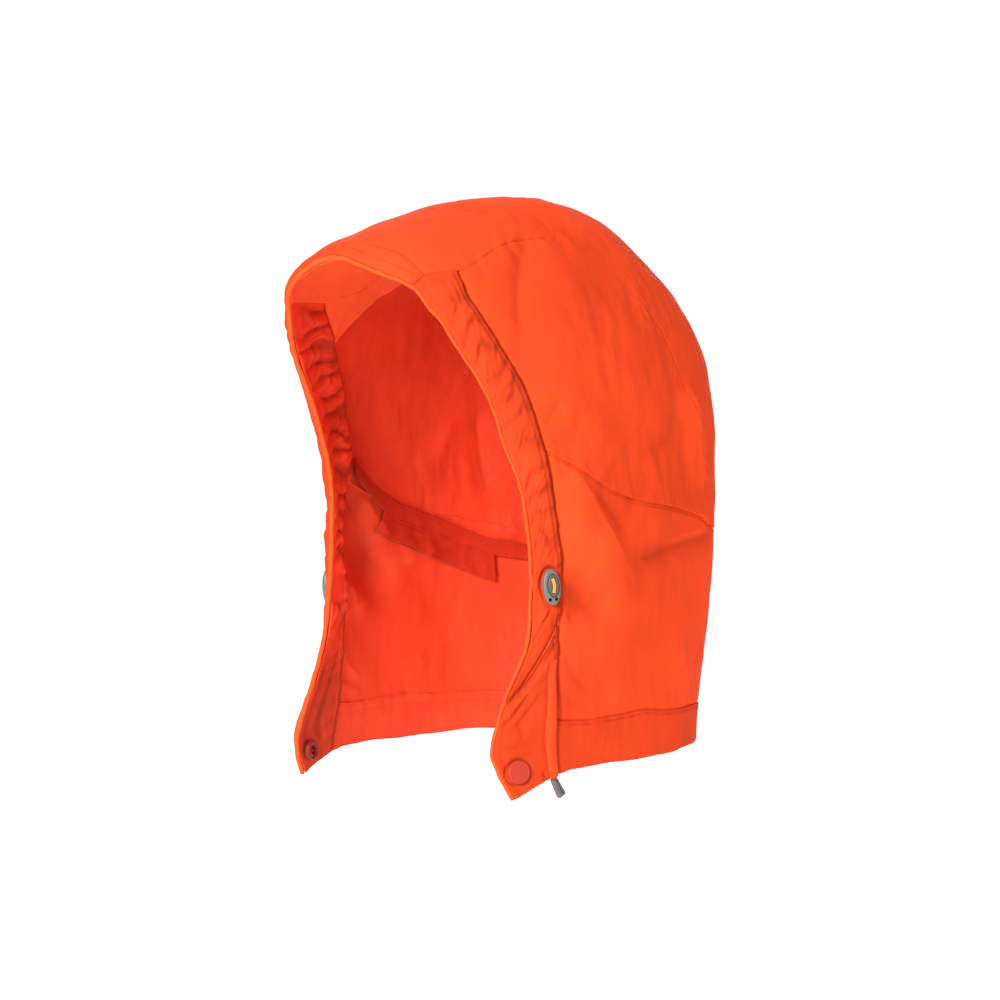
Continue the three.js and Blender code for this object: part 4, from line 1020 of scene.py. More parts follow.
class HOOD_OT_peak(bpy.types.Operator):
    """Sew the peak over the brow and the cloth turned in below it"""

    bl_idname = "hood.peak"
    bl_label = "Peak"

    def execute(self, context):
        form, areas, sizes, cells = workshop()
        panel = Panel(form, areas["peak"], *cells)
        panel.let_out("first", EDGE_REACH)
        outer = 0.0008 + panel.worked(
            ("rounded", "first", 0.0012, 0.0007), ("groove", "first", 0.0004, 0.0006, 0.0045),
            ("groove", "last", 0.0012, 0.0012), ("groove", "last", 0.0003, 0.0006, 0.0022),
            ("pucker", "first", 0.0004, 0.007, 0.008), ("pucker", "last", 0.0004))
        sew("peak_outside", "peak", "shell", "folded", panel, outer, -form.cloth, ("shell", "facing"))
        for key, name, node in (("lining", "peak_inside", "peak_lining"),
                                ("crown_facing", "crown_band_inside", "crown_facing")):
            panel = Panel(form, areas[key], *cells)
            if key == "lining":
                panel.let_out("first", EDGE_REACH)
            outer = form.inside + panel.groove("last", 0.0002, 0.001)
            inner = form.inside - TURNED_CLOTH - panel.worked(
                ("groove", "last", 0.0005, 0.0009), ("pucker", "first", 0.0008, 0.011, 0.016),
                ("pucker", "last", 0.0004))
            sew(name, node, "shell_deep", "folded", panel, outer, inner, ("lining",))
        return {"FINISHED"}


def gathers(panel, pitch, depth, lean, seed):
    """Puffs between leaning creases along a drawn casing, which lie flat in the chin flap, and the
    painted shade between them.
    """
    noise = Noise(seed)
    across, down = panel.to["start"], panel.to["first"]
    share = across / np.maximum(panel.wide, 1e-6)
    step = (down + lean * across) / pitch

    def uneven(stretch, across_stretch, shift):
        place = [step * stretch + shift, share * across_stretch, step * 0 + shift]
        return noise(np.stack(place, axis=-1))

    puff = np.abs(np.sin(math.pi * (step + 0.8 * uneven(0.5, 1.5, 3))))
    small = np.abs(np.sin(math.pi * (step * 1.6 + share * 1.4 + 1.4 * uneven(0.9, 2.2, 5))))
    swell = (0.85 + 0.5 * uneven(0.4, 1.3, 7)) * (0.75 * puff**0.95 + 0.25 * small**1.1)
    ends = ease(panel.v, 0.0, 0.03) * (1 - 0.85 * ease(panel.v, TUNNEL_TOP - 0.13, TUNNEL_TOP - 0.04))
    middle = np.sin(math.pi * np.clip(share, 0, 1)) ** 0.5
    # Painted shade between the puffs.
    deep = np.clip(0.95 - swell * 1.15, 0, 1) * ends * ease(share, 0.1, 0.55)
    return depth * swell * ends * middle, deep


def away_from(form, panel, place):
    """How far a panel's points lie from a place, on either side of the hood."""
    return np.linalg.norm(on_left(panel.point) - form.point(way(*place)), axis=-1)


def calm(form, panel):
    """Nothing puckers under the lock and the snap."""
    near_lock, near_snap = (away_from(form, panel, place) for place in (LOCK_PLACE, SNAP_PLACE))
    calm_lock = ease(near_lock, LOCK_LENGTH * 0.42, LOCK_LENGTH * 0.75)
    return calm_lock * ease(near_snap, SNAP_CAP * 0.5, SNAP_CAP)


def snap_ring(form, panel):
    """The cloth is pressed down in a ring round the snap."""
    return -0.001 * bell(away_from(form, panel, SNAP_PLACE) - SNAP_CAP / 2 - 0.0004, 0.0008)


def lock_well(form, panel):
    """The slit round the lock, widest before and above it."""
    well = np.zeros(panel.u.shape)
    for side in (1, -1):
        local = np.array(seat(form, LOCK_PLACE, side, CASING_RISE, LOCK_TILT).inverted())[:3]
        spot = panel.point @ local[:, :3].T + local[:, 3]
        ring = np.hypot(spot[..., 0] / LOCK_WIDTH, spot[..., 1] / LOCK_LENGTH) * 2
        ahead = ease(-side * spot[..., 0] / LOCK_WIDTH + spot[..., 1] / LOCK_LENGTH * 0.8, -0.1, 0.7)
        near = np.abs(spot[..., 2]) < 0.02
        well += np.where(near, bell(ring - 1.1, 0.09) * (0.15 + 0.85 * ahead), 0)
    return well


# Folds of the flap below the lock: share across, share down, the same at the other end, half width
# and height.
FLAP_FOLDS = (
    (0.99, 0.712, 0.05, 0.816, 0.0024, -0.0032),
    (0.99, 0.735, 0.7, 0.772, 0.0022, -0.0018),
    (0.86, 0.77, 0.1, 0.842, 0.0032, 0.0014),
    (0.36, 0.828, 0.1, 0.862, 0.0018, -0.0016),
    (0.62, 0.84, 0.24, 0.882, 0.0016, -0.0009),
    (0.3, 0.875, 0.4, 0.905, 0.0018, -0.0008),
    (0.1, 0.915, 0.6, 0.925, 0.002, -0.0006),
    (0.08, 0.945, 0.55, 0.94, 0.002, -0.0004),
    (0.66, 0.985, 0.7, 1.0, 0.0011, -0.0012),
)


def flap_folds(panel):
    spot = np.stack([panel.to["start"], panel.to["first"]])
    size = np.stack(np.broadcast_arrays(panel.wide, panel.long))
    total = 0.0
    for from_u, from_v, to_u, to_v, spread, rise in FLAP_FOLDS:
        a, b = (size * np.reshape(end, (2, 1, 1)) for end in ((from_u, from_v), (to_u, to_v)))
        span = b - a
        share = np.clip(((spot - a) * span).sum(axis=0) / (span * span).sum(axis=0), 0, 1)
        far = np.linalg.norm(spot - a - share * span, axis=0)
        faded = np.sin(math.pi * np.clip(share, 0.08, 0.92)) ** 0.3
        total = total + rise * np.exp(-((far / spread) ** 1.4)) * faded
    return total


class HOOD_OT_casings(bpy.types.Operator):
    """Gather the two cord casings down the face opening, with the tunnels at their feet"""

    bl_idname = "hood.casings"
    bl_label = "Casings"

    def execute(self, context):
        form, areas, sizes, (fine, coarse) = workshop()
        for seed, (name, area) in enumerate(sided(areas["casing"])):
            panel = Panel(form, area, fine, coarse * 0.55)
            quiet = calm(form, panel)
            relief, deep = gathers(
                panel, sizes.gather_pitch, sizes.gather, CASING_LEAN, CASING_SEED + seed)
            flap, ring, well = flap_folds(panel), snap_ring(form, panel), lock_well(form, panel)
            # Painted shade on the casing: between the puffs, in the flap's folds, in the ring round the
            # snap, in the slit round the lock, along its seam edge and over the lower flap.
            deep = 0.6 * deep * quiet - flap * FLAP_FOLD_SHADE - ring * SNAP_RING_SHADE + well * LOCK_WELL_SHADE
            deep += 0.5 * bell(panel.to["end"] - 0.0012, 0.0022) + 0.12 * ease(panel.v, 0.7, 0.8)
            panel.let_out("start", EDGE_REACH)
            outer = 0.0006 + relief * quiet + flap + ring - 0.0012 * well + panel.worked(
                ("rounded", "end", 0.0016, 0.0012), ("rounded", "start", 0.0016, 0.0004),
                ("groove", "start", 0.0003, 0.0007, 0.003), ("groove", "first", 0.0009, 0.001))
            outer += panel.groove("end", 0.0006, 0.0007, 0.0026) * (1 - ease(panel.v, 0.76, 0.79))
            outer += panel.pucker("end", 0.0006, 0.006, 0.007) * quiet
            under = ease(panel.u, TUNNEL_FROM - 0.08, TUNNEL_FROM)
            under = under * ease(panel.v, TUNNEL_TOP - 0.03, TUNNEL_TOP)
            outer = outer * (1 - under) + under * np.minimum(outer, 0.0005)
            sew(f"casing_{name}", f"front_casing_{name}", "shell", "gathered", panel, outer,
                -form.cloth, ("casing", "facing"), bulge=0.7, hollow=deep)

            strip_area = area.within(TUNNEL_FROM, TUNNEL_TO, TUNNEL_TOP, 1.0)
            strip = Panel(form, strip_area, fine, coarse * 0.5, 0.002)
            strip.relief = strip.relief * ease(strip.to["first"], 0.0, 0.004)
            share = strip.to["start"] / strip.wide
            arched = np.sqrt(np.clip(1 - (2 * share - 1) ** 2, 0, 1))
            foot = CASING_RISE + GAP
            outer = foot + 0.0002 + 0.0019 * arched + strip.pucker("start", 0.0002, 0.006, 0.004)
            outer = outer * (0.3 + 0.7 * ease(strip.to["first"], 0.0, 0.022))
            sew(f"tunnel_{name}", f"cord_tunnel_{name}", "shell", "folded", strip, outer,
                foot * 0.6, ("shell",), TUNNEL_TURNED, bulge=0.6)
        return {"FINISHED"}


class HOOD_OT_facings(bpy.types.Operator):
    """Gather the two facings turned in behind the casings"""

    bl_idname = "hood.facings"
    bl_label = "Facings"

    def execute(self, context):
        form, areas, sizes, (fine, coarse) = workshop()
        for seed, (name, area) in enumerate(sided(areas["facing"])):
            panel = Panel(form, area, fine * 1.1, coarse * 0.55)
            relief, deep = gathers(
                panel, sizes.gather_pitch * 0.85, sizes.gather * 1.5, FACING_LEAN, FACING_SEED + seed)
            panel.let_out("start", EDGE_REACH)
            quiet = calm(form, panel)
            flap = ease(panel.v, 0.72, 0.8) * (1 - ease(panel.v, 0.93, 0.97))
            upright = form.noise(np.stack([panel.to["start"] / 0.006, panel.v * 3, panel.v * 0], axis=-1))
            swell = relief * quiet + 0.0016 * flap * upright * np.sin(math.pi * panel.u)
            inner = form.inside - TURNED_CLOTH + 0.0003 - np.maximum(swell, -0.0006) - panel.worked(
                ("groove", "end", 0.0004, 0.0006, 0.0018), ("rounded", "end", 0.001, 0.0006))
            # Painted shade on the facing: between the puffs, over its lower part, along its seam edge and
            # between the flap's upright folds.
            deep = 1.3 * deep * quiet + 0.7 * ease(panel.v, 0.66, 0.84)
            deep += 0.5 * bell(panel.to["end"] - 0.001, 0.002) + 0.8 * flap * np.clip(-upright, 0, 1)
            sew(f"facing_{name}", f"front_facing_{name}", "lining", "gathered", panel, form.inside,
                inner, ("facing",), hollow_back=deep)
        return {"FINISHED"}


class HOOD_OT_tape(bpy.types.Operator):
    """Seal the cross seam inside with its tape and the two patches below it"""

    bl_idname = "hood.tape"
    bl_label = "Tape"

    def execute(self, context):
        form, areas, sizes, (fine, coarse) = workshop()
        pieces = [("seam_tape_inside", "seam_tape", areas["tape"])]
        pieces += [(f"patch_{name}", f"back_patch_{name}", area) for name, area in sided(areas["patch"])]
        for name, node, area in pieces:
            panel = Panel(form, area, fine * 1.2, coarse * 0.8, 0.003)
            top = form.inside - TAPE_DROP
            ripple = form.noise(panel.point / (0.009, 0.009, 0.005) + 17)
            broad = np.clip(form.noise(panel.point / 0.03 + 2) * 2 + 0.3, 0, 1)
            inner = top - TAPE - 0.0007 * np.maximum(ripple + 0.2, 0) * broad - panel.worked(
                ("rounded", "first last", 0.0008, 0.0005),
                ("groove", "first last", 0.0003, 0.0005, 0.0016))
            sew(name, node, "tape", "laid", panel, top, inner, ("tape",))
        return {"FINISHED"}


class HOOD_OT_binding(bpy.types.Operator):
    """Roll the edge round the face opening, its cloth a little lighter than the shell as a painted
    highlight
    """

    bl_idname = "hood.binding"
    bl_label = "Binding"

    def execute(self, context):
        form = HoodForm(context.scene.hood_sizes)
        arch = Cut(form, both_sides(OPENING, True), 0, 2 * (len(OPENING) - 1))
        share = np.linspace(0, 1, 721)
        toward = arch(share)
        middle = (CASING_RISE + form.inside - TURNED_CLOTH) / 2
        base, normal = form.point(toward), form.normal(toward)
        centre = base + normal * (form.relief(base, form.folds) + middle)[:, None]
        along = unit(np.gradient(centre, axis=0))
        off = unit(np.cross(along, normal))
        off = np.where(off[:, 1:2] > 0, -off, off)
        upright = np.cross(off, along)
        uneven = form.noise(base / 0.01)[:, None]
        ripple = form.noise(base / 0.005 + 5)[:, None]
        beyond = EDGE_REACH + EDGE_WIDE * 0.75
        centre = centre + off * (beyond + 0.0004 * uneven + 0.00015 * ripple) + upright * 0.0003 * ripple
        angle = np.linspace(0, 2 * math.pi, 12, endpoint=False)
        thick = 1 + 0.1 * form.noise(base / 0.012 + 2)[:, None, None]
        ring = centre[:, None] + thick * (
            off[:, None] * (EDGE_WIDE * np.cos(angle))[:, None]
            + upright[:, None] * (EDGE_HIGH * np.sin(angle))[:, None]
        )
        points = ring.reshape(-1, 3)
        count = len(angle)
        start = (np.arange(len(share) - 1) * count)[:, None]
        low = start + np.arange(count)
        high = start + (np.arange(count) + 1) % count
        quads = np.stack([low, high, high + count, low + count], axis=-1).reshape(-1, 4).tolist()
        caps = [list(range(count))[::-1], [len(points) - count + k for k in range(count)]]
        mesh = bpy.data.meshes.new("rolled_edge")
        mesh.from_pydata(points.tolist(), [], quads + caps)
        uv = mesh.uv_layers.new(name="cloth")
        spread = np.stack(np.broadcast_arrays((share * arch.whole)[:, None], angle * 0.0018), axis=-1)
        corners = np.zeros(len(mesh.loops), int)
        mesh.loops.foreach_get("vertex_index", corners)
        uv.data.foreach_set("uv", spread.reshape(-1, 2)[corners].ravel().astype(np.float32))
        piece = add_piece("rolled_edge", mesh)
        mesh.materials.append(looks()["edge"])
        make_only(piece)
        turn_out()
        bpy.ops.object.shade_smooth_by_angle(angle=math.radians(50))
        settle(piece, "front_binding")
        return {"FINISHED"}


def make_only(piece):
    """Select one piece and nothing else."""
    bpy.ops.object.select_all(action="DESELECT")
    piece.select_set(True)
    bpy.context.view_layer.objects.active = piece


def turn_out():
    """Turn the faces of the active piece outwards."""
    bpy.ops.object.mode_set(mode="EDIT")
    bpy.ops.mesh.select_all(action="SELECT")
    bpy.ops.mesh.normals_make_consistent(inside=False)
    bpy.ops.object.mode_set(mode="OBJECT")


def primitive(kind, **options):
    """Add a primitive at its size and place, selected alone, with its place in its mesh."""
    bpy.ops.object.select_all(action="DESELECT")
    getattr(bpy.ops.mesh, f"primitive_{kind}_add")(**options)
    bpy.ops.object.transform_apply(location=True, rotation=True, scale=True)
    return bpy.context.active_object


def pick(piece, wanted):
    """Go into edit mode with only the wanted faces selected."""
    bpy.ops.object.mode_set(mode="EDIT")
    bpy.ops.mesh.select_mode(type="FACE")
    bpy.ops.mesh.select_all(action="DESELECT")
    bpy.ops.object.mode_set(mode="OBJECT")
    for face in piece.data.polygons:
        face.select = wanted(face)
    bpy.ops.object.mode_set(mode="EDIT")


def one_stitch(length):
    """A single stitch: a short thread that dips at both ends."""
    piece = primitive("cylinder", vertices=6, radius=THREAD, depth=length * 0.72,
                      rotation=(0, math.pi / 2, 0))
    for side in (-1, 1):
        pick(piece, lambda face: face.normal.x * side > 0.9)
        bpy.ops.mesh.extrude_region_move(
            TRANSFORM_OT_translate={"value": (side * length * 0.14, 0, -THREAD)})
        bpy.ops.transform.resize(value=(1, 0.55, 0.55))
        bpy.ops.object.mode_set(mode="OBJECT")
    return piece


def along_line(at, length, values):
    return np.stack([np.interp(at, length, values[:, k]) for k in range(3)], axis=-1)


class HOOD_OT_stitches(bpy.types.Operator):
    """Run the rows of stitches beside the seams"""

    bl_idname = "hood.stitches"
    bl_label = "Stitches"

    def execute(self, context):
        form, areas, sizes, _ = workshop()
        master = one_stitch(sizes.stitch)
        shape = np.array([vertex.co[:] for vertex in master.data.vertices])
        faces = [list(face.vertices) for face in master.data.polygons]
        sewn = [(areas[key], side, inset, lift) for key, side, inset, lift in STITCH_ROWS]
        for _, area in sided(areas["facing"]):
            sewn.append((area, "end", 0.0018, form.inside - TURNED_CLOTH - 0.00005))
        points, polygons = [], []
        for area, side, inset, lift in sewn:
            across = side in ("first", "last")
            grid, probe = np.linspace(0, 1, 401), np.linspace(0, 1, 41)
            u, v = np.meshgrid(grid, probe) if across else np.meshgrid(probe, grid)
            axis = 0 if across else 1
            width = np.linalg.norm(np.diff(form.point(area(u, v)), axis=axis), axis=-1).sum(axis=axis)
            share = np.clip(inset / np.maximum(width, 1e-4), 0, 0.45)
            share = 1 - share if side in ("last", "end") else share
            toward = area(grid, share) if across else area(share, grid)
            base = form.point(toward)
            length = np.concatenate([[0], np.cumsum(np.linalg.norm(np.diff(base, axis=0), axis=-1))])
            count = int(length[-1] / (sizes.stitch * 1.22))
            at = (np.arange(count) + 0.5) / count * length[-1]
            middle = unit(along_line(at, length, toward))
            spot, normal = form.point(middle), form.normal(middle)
            along = unit(along_line(at + 0.001, length, base) - along_line(at - 0.001, length, base))
            out = normal if lift > -0.001 else -normal
            out = unit(out - along * dot(out, along)[:, None])
            beside = np.cross(out, along)
            spot = spot + normal * (form.lift(spot) + lift)[:, None]
            placed = (spot[:, None] + along[:, None] * shape[None, :, :1]
                      + beside[:, None] * shape[None, :, 1:2] + out[:, None] * shape[None, :, 2:])
            first = sum(len(block) for block in points)
            points.append(placed.reshape(-1, 3))
            for k in range(count):
                shift = first + k * len(shape)
                polygons += [[corner + shift for corner in face] for face in faces]
        mesh = bpy.data.meshes.new("stitching")
        mesh.from_pydata(np.concatenate(points).tolist(), [], polygons)
        mesh.materials.append(looks()["thread"])
        mesh.shade_smooth()
        piece = add_piece("stitching", mesh)
        bpy.data.objects.remove(master)
        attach(piece, "hood")
        return {"FINISHED"}


def seat(form, place, side, lift, tilt=0):
    """A frame on the cloth: z away from the body, y up along it, turned by a tilt in degrees."""
    toward = way(place[0], side * place[1])
    out = form.normal(toward)
    base = form.point(toward)
    at = base + out * (form.relief(base, form.folds) + lift)
    upright = unit(np.array((0, 0, 1.0)) - out * out[2])
    across = np.cross(upright, out)
    rows = [(across[k], upright[k], out[k], at[k]) for k in range(3)]
    return Matrix((*rows, (0, 0, 0, 1))) @ Matrix.Rotation(math.radians(side * tilt), 4, "Z")


def built_up(steps, radius=1.0, vertices=48, width=1.0, length=1.0):
    """An oval built up by steps, each an inset and a height, or a height alone, and closed below."""
    piece = primitive("circle", vertices=vertices, radius=radius, fill_type="NGON")
    bpy.ops.object.mode_set(mode="EDIT")
    bpy.ops.mesh.select_all(action="SELECT")
    bpy.ops.transform.resize(value=(width, length, 1))
    bpy.ops.object.mode_set(mode="OBJECT")
    pick(piece, lambda face: face.normal.z > 0.9)
    for inset, height in steps:
        if inset:
            bpy.ops.mesh.inset(thickness=inset, depth=height)
        else:
            bpy.ops.mesh.extrude_region_move(TRANSFORM_OT_translate={"value": (0, 0, height)})
    bpy.ops.object.mode_set(mode="OBJECT")
    close_foot()
    return piece


def close_foot():
    """Give the active piece its open underside and turn its faces out."""
    bpy.ops.object.mode_set(mode="EDIT")
    bpy.ops.mesh.select_mode(type="EDGE")
    bpy.ops.mesh.select_all(action="DESELECT")
    bpy.ops.mesh.select_non_manifold(extend=False)
    bpy.ops.mesh.edge_face_add()
    bpy.ops.mesh.select_all(action="SELECT")
    bpy.ops.mesh.remove_doubles(threshold=0.000001)
    bpy.ops.object.mode_set(mode="OBJECT")
    turn_out()


def soften(piece, width, segments=3, angle=35):
    """Round the sharp edges and smooth the rest."""
    make_only(piece)
    bevel = piece.modifiers.new("soft_edges", "BEVEL")
    bevel.width, bevel.segments, bevel.limit_method = width, segments, "ANGLE"
    bevel.angle_limit = math.radians(angle)
    bpy.ops.object.modifier_apply(modifier=bevel.name)
    bpy.ops.object.shade_smooth_by_angle(angle=math.radians(40))


def carve(piece, tool):
    make_only(piece)
    cut = piece.modifiers.new("carve", "BOOLEAN")
    cut.operation, cut.object, cut.solver = "DIFFERENCE", tool, "EXACT"
    bpy.ops.object.modifier_apply(modifier=cut.name)
    bpy.data.objects.remove(tool)


def put(piece, name, matrix, look, node, body="hood"):
    """Set a finished piece in its place, with its place in its mesh."""
    piece.name = piece.data.name = name
    piece.data.transform(matrix)
    piece.data.materials.clear()
    piece.data.materials.append(looks()[look])
    settle(piece, node, body)


class HOOD_OT_snaps(bpy.types.Operator):
    """Press the snap caps outside the flaps and their sockets inside"""

    bl_idname = "hood.snaps"
    bl_label = "Snaps"

    def execute(self, context):
        form = HoodForm(context.scene.hood_sizes)
        high, tall = SNAP_CAP_HEIGHT, SNAP_SOCKET_HEIGHT
        for side, name in ((1, "left"), (-1, "right")):
            cap = built_up((
                (0, high * 0.5), (0.0006, high * 0.32), (0.0005, 0), (0.0005, high * -0.16),
                (0.0013, high * 0.12), (0.002, high * 0.1),
            ), SNAP_CAP / 2)
            soften(cap, 0.00022)
            put(cap, f"snap_{name}", seat(form, SNAP_PLACE, side, CASING_RISE + GAP + 0.0003), "snap",
                f"snap_cap_{name}")

            ring = built_up((
                (0, tall - 0.0006), (0.0006, 0.0006), (0.0008, 0), (0.0004, -0.0005),
                (SNAP_SOCKET / 2 - SNAP_SOCKET_BORE / 2 - 0.0022, 0), (0.0003, 0.0004), (0, 0.0001),
                (0.0001, 0), (0, SNAP_SOCKET_FLOOR - tall - 0.0001),
                (SNAP_SOCKET_BORE / 2 - SNAP_STUD / 2 - 0.0001, 0), (0, tall * 0.7 - SNAP_SOCKET_FLOOR),
                (0.0003, 0.0002),
            ), SNAP_SOCKET / 2)
            soften(ring, 0.00015, 2)
            lift = form.inside - TURNED_CLOTH - GAP - SNAP_SOCKET_DROP
            place = seat(form, SNAP_PLACE, side, lift) @ Matrix.Rotation(math.pi, 4, "Y")
            put(ring, f"socket_{name}", place, "socket", f"snap_socket_{name}")
        return {"FINISHED"}


def oval_block(width, length, foot, top, shift=0.0):
    piece = built_up(((0, top - foot),), vertices=64, width=width / 2, length=length / 2)
    piece.data.transform(Matrix.Translation((shift, shift, foot)))
    return piece


def bowed_bar(grow, foot, top):
    """A bar bent round an arc, made by spinning its end."""
    sag, half = BAR_WIDTH * 0.45, BAR_LENGTH / 2 + grow
    radius = (half * half + sag * sag) / (2 * sag)
    sweep = 2 * math.asin(half / radius)
    centre = (-radius + sag * 0.5, 0, 0)
    piece = primitive("plane", size=1, rotation=(math.pi / 2, 0, 0))
    bpy.ops.object.mode_set(mode="EDIT")
    bpy.ops.mesh.select_all(action="SELECT")
    bpy.ops.transform.resize(value=(BAR_WIDTH + 2 * grow, 1, top - foot))
    bpy.ops.transform.translate(value=(centre[0] + radius, 0, (foot + top) / 2))
    bpy.ops.mesh.spin(steps=14, angle=sweep, center=centre, axis=(0, 0, 1))
    bpy.ops.mesh.select_all(action="SELECT")
    bpy.ops.mesh.remove_doubles(threshold=0.000001)
    bpy.ops.object.mode_set(mode="OBJECT")
    ends = [vertex.co.y for vertex in piece.data.vertices]
    turn = -sweep / 2 if max(ends) > -min(ends) else sweep / 2
    pivot = Matrix.Translation(centre)
    piece.data.transform(pivot @ Matrix.Rotation(turn, 4, "Z") @ pivot.inverted())
    close_foot()
    piece.data.transform(Matrix.Translation((BUTTON_SHIFT, BUTTON_SHIFT, 0)))
    return piece


class HOOD_OT_locks(bpy.types.Operator):
    """Set the cord locks, each with its button and the bowed bar let into it"""

    bl_idname = "hood.locks"
    bl_label = "Locks"

    def execute(self, context):
        form = HoodForm(context.scene.hood_sizes)
        foot = LOCK_FLOOR + BUTTON_TRAVEL + BUTTON_CLEARANCE
        top = LOCK_HEIGHT + BUTTON_PROUD
        for side, name in ((1, "left"), (-1, "right")):
            place = seat(form, LOCK_PLACE, side, CASING_RISE + GAP, LOCK_TILT)
            body = oval_block(LOCK_WIDTH, LOCK_LENGTH, 0, LOCK_HEIGHT)
            soften(body, 0.0013, 5)
            room = 2 * BUTTON_CLEARANCE
            carve(body, oval_block(BUTTON_WIDTH + room, BUTTON_LENGTH + room, LOCK_FLOOR,
                                   LOCK_HEIGHT * 2, BUTTON_SHIFT))
            for across in (-1, 1):
                carve(body, primitive(
                    "cylinder", vertices=24, radius=CORD_HOLE / 2, depth=LOCK_HEIGHT * 2,
                    location=(across * CORD_HOLE * 0.85, -(LOCK_LENGTH / 2 - CORD_HOLE * 1.5),
                              LOCK_HEIGHT + LOCK_FLOOR)))
            soften(body, 0.00018, 2, 50)
            put(body, f"lock_{name}", place, "lock", f"lock_housing_{name}")

            button = oval_block(BUTTON_WIDTH, BUTTON_LENGTH, foot, top, BUTTON_SHIFT)
            soften(button, 0.0006, 4)
            carve(button, bowed_bar(GAP, top - BAR_DEPTH - GAP, top * 2))
            soften(button, 0.00012, 2, 50)
            put(button, f"button_{name}", place, "button", f"lock_button_{name}",
                f"lock_button_{name}")

            bar = bowed_bar(0, top - BAR_DEPTH, top + 0.00015)
            soften(bar, 0.0003, 3)
            put(bar, f"bar_{name}", place, "bar", f"lock_bar_{name}", f"lock_button_{name}")
        return {"FINISHED"}


class HOOD_OT_cord_ends(bpy.types.Operator):
    """Hang the moulded ends on the drawcord"""

    bl_idname = "hood.cord_ends"
    bl_label = "Cord ends"

    def execute(self, context):
        form = HoodForm(context.scene.hood_sizes)
        wide, long, deep = CORD_END_WIDTH, CORD_END_LENGTH, CORD_END_DEPTH
        for side, name in ((1, "left"), (-1, "right")):
            tab = primitive("cube", size=1, location=(0, -long / 2, 0))
            bpy.ops.object.mode_set(mode="EDIT")
            bpy.ops.mesh.select_all(action="SELECT")
            bpy.ops.transform.resize(value=(wide, long, deep), center_override=(0, -long / 2, 0))
            bpy.ops.object.mode_set(mode="OBJECT")
            pick(tab, lambda face: face.normal.y > 0.9)
            bpy.ops.transform.resize(value=(0.72, 1, 0.8), center_override=(0, 0, 0))
            bpy.ops.object.mode_set(mode="OBJECT")
            soften(tab, 0.0011, 4)
            carve(tab, primitive("cube", size=1, location=(wide * 0.1, -long * 0.52, deep / 2),
                                 scale=(0.0009, long * 0.8, 0.0016)))
            soften(tab, 0.0002, 2, 50)
            if side > 0:
                place = seat(form, CORD_END_PLACE, 1, -form.cloth / 2)
                place = place @ Matrix.Translation((0, -GAP - CORD_END_DROP, 0))
                place = place @ Matrix.Rotation(math.radians(CORD_END_LEAN), 4, "Z")
            else:
                over = CASING_RISE + GAP + TUNNEL_THICK + GAP + deep / 2 + CORD_END_REST
                place = seat(form, CORD_END_TUCKED, -1, over)
            put(tab, f"cord_tab_{name}", place, "tab", f"cord_end_{name}")
        return {"FINISHED"}


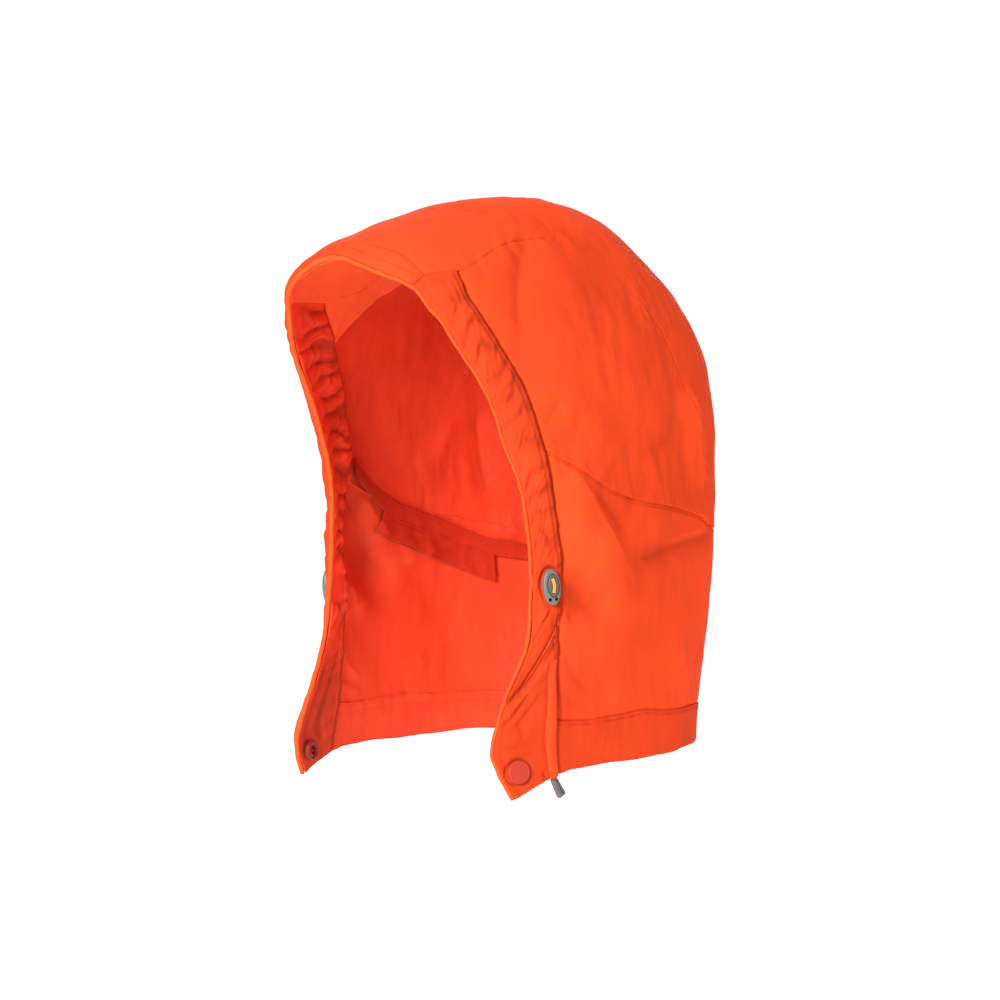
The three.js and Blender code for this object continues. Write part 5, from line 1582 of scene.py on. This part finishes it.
class HOOD_OT_studio(bpy.types.Operator):
    """Lay the pale floor, hang the lights and set the camera"""

    bl_idname = "hood.studio"
    bl_label = "Studio"

    def execute(self, context):
        scene, light = context.scene, context.scene.hood_light
        floor = primitive("circle", vertices=96, radius=0.8, fill_type="NGON",
                          location=(0, 0, CAD_BOX[0].z - 0.05))
        floor.name = "floor"
        shader = Shader("pale_floor")
        grain = shader.noise(shader.place(), 3.0)
        tint = shader.mix(grain, (0.9, 0.9, 0.9, 1), (0.93, 0.93, 0.93, 1))
        floor.data.materials.append(shader.finish({
            "Base Color": tint, "Roughness": 0.95, "Specular IOR Level": 0.0,
            "Emission Color": (1, 1, 1, 1), "Emission Strength": light.glow,
        }))
        world = bpy.data.worlds.new("white_surround")
        world.use_nodes = True
        tree = world.node_tree
        seen = tree.nodes.new("ShaderNodeLightPath").outputs["Is Camera Ray"]
        level = tree.nodes.new("ShaderNodeMapRange")
        tree.links.new(seen, level.inputs["Value"])
        level.inputs["To Min"].default_value, level.inputs["To Max"].default_value = light.sky, 1.02
        sky = tree.nodes["Background"]
        sky.inputs["Color"].default_value = (1, 1, 1, 1)
        tree.links.new(level.outputs["Result"], sky.inputs["Strength"])
        scene.world = world
        middle = Vector(HOOD_MIDDLE)
        for name, place, size, setting in LAMPS:
            lamp = bpy.data.lights.new(name, "AREA")
            lamp.size, lamp.energy = size, getattr(light, setting)
            holder = add_piece(name, lamp)
            holder.location = place
            holder.rotation_euler = (middle - Vector(place)).to_track_quat("-Z", "Y").to_euler()
        view = bpy.data.cameras.new("camera")
        camera = add_piece("camera", view)
        reach = light.distance * math.sqrt(0.5)
        camera.location = (reach, middle.y - reach, CAMERA_HEIGHT)
        camera.rotation_euler = (math.pi / 2, 0, math.pi / 4)
        view.lens, view.sensor_width, view.shift_y = CAMERA_LENS, 36, CAMERA_SHIFT
        view.clip_start, view.clip_end = 0.05, 50
        scene.camera = camera
        scene.view_settings.view_transform = "Standard"
        return {"FINISHED"}


class HOOD_PT_pieces(bpy.types.Panel):
    """The hood's sizes, colours and pieces"""

    bl_idname = "HOOD_PT_pieces"
    bl_label = "Hood"
    bl_space_type = "VIEW_3D"
    bl_region_type = "UI"
    bl_category = "Hood"

    def draw(self, context):
        layout = self.layout
        for group in (context.scene.hood_sizes, context.scene.hood_colours, context.scene.hood_light):
            column = layout.column(align=True)
            for name in group.__annotations__:
                column.prop(group, name)
        for step in STEPS:
            layout.operator(step.bl_idname)


STEPS = (
    HOOD_OT_studio, HOOD_OT_crown, HOOD_OT_sides, HOOD_OT_neck, HOOD_OT_hem_band, HOOD_OT_peak,
    HOOD_OT_casings, HOOD_OT_facings, HOOD_OT_tape, HOOD_OT_binding, HOOD_OT_stitches, HOOD_OT_snaps,
    HOOD_OT_locks, HOOD_OT_cord_ends,
)
CLASSES = (HoodSizes, HoodColours, HoodLight, *STEPS, HOOD_PT_pieces)


def register():
    for made in CLASSES:
        bpy.utils.register_class(made)
    bpy.types.Scene.hood_sizes = PointerProperty(type=HoodSizes)
    bpy.types.Scene.hood_colours = PointerProperty(type=HoodColours)
    bpy.types.Scene.hood_light = PointerProperty(type=HoodLight)


def unregister():
    del bpy.types.Scene.hood_sizes, bpy.types.Scene.hood_colours, bpy.types.Scene.hood_light
    for made in reversed(CLASSES):
        bpy.utils.unregister_class(made)


def main():
    """Sew the hood, one step after the other."""
    register()
    for step in STEPS:
        group, name = step.bl_idname.split(".")
        getattr(getattr(bpy.ops, group), name)()


if __name__ == "__main__":
    main()
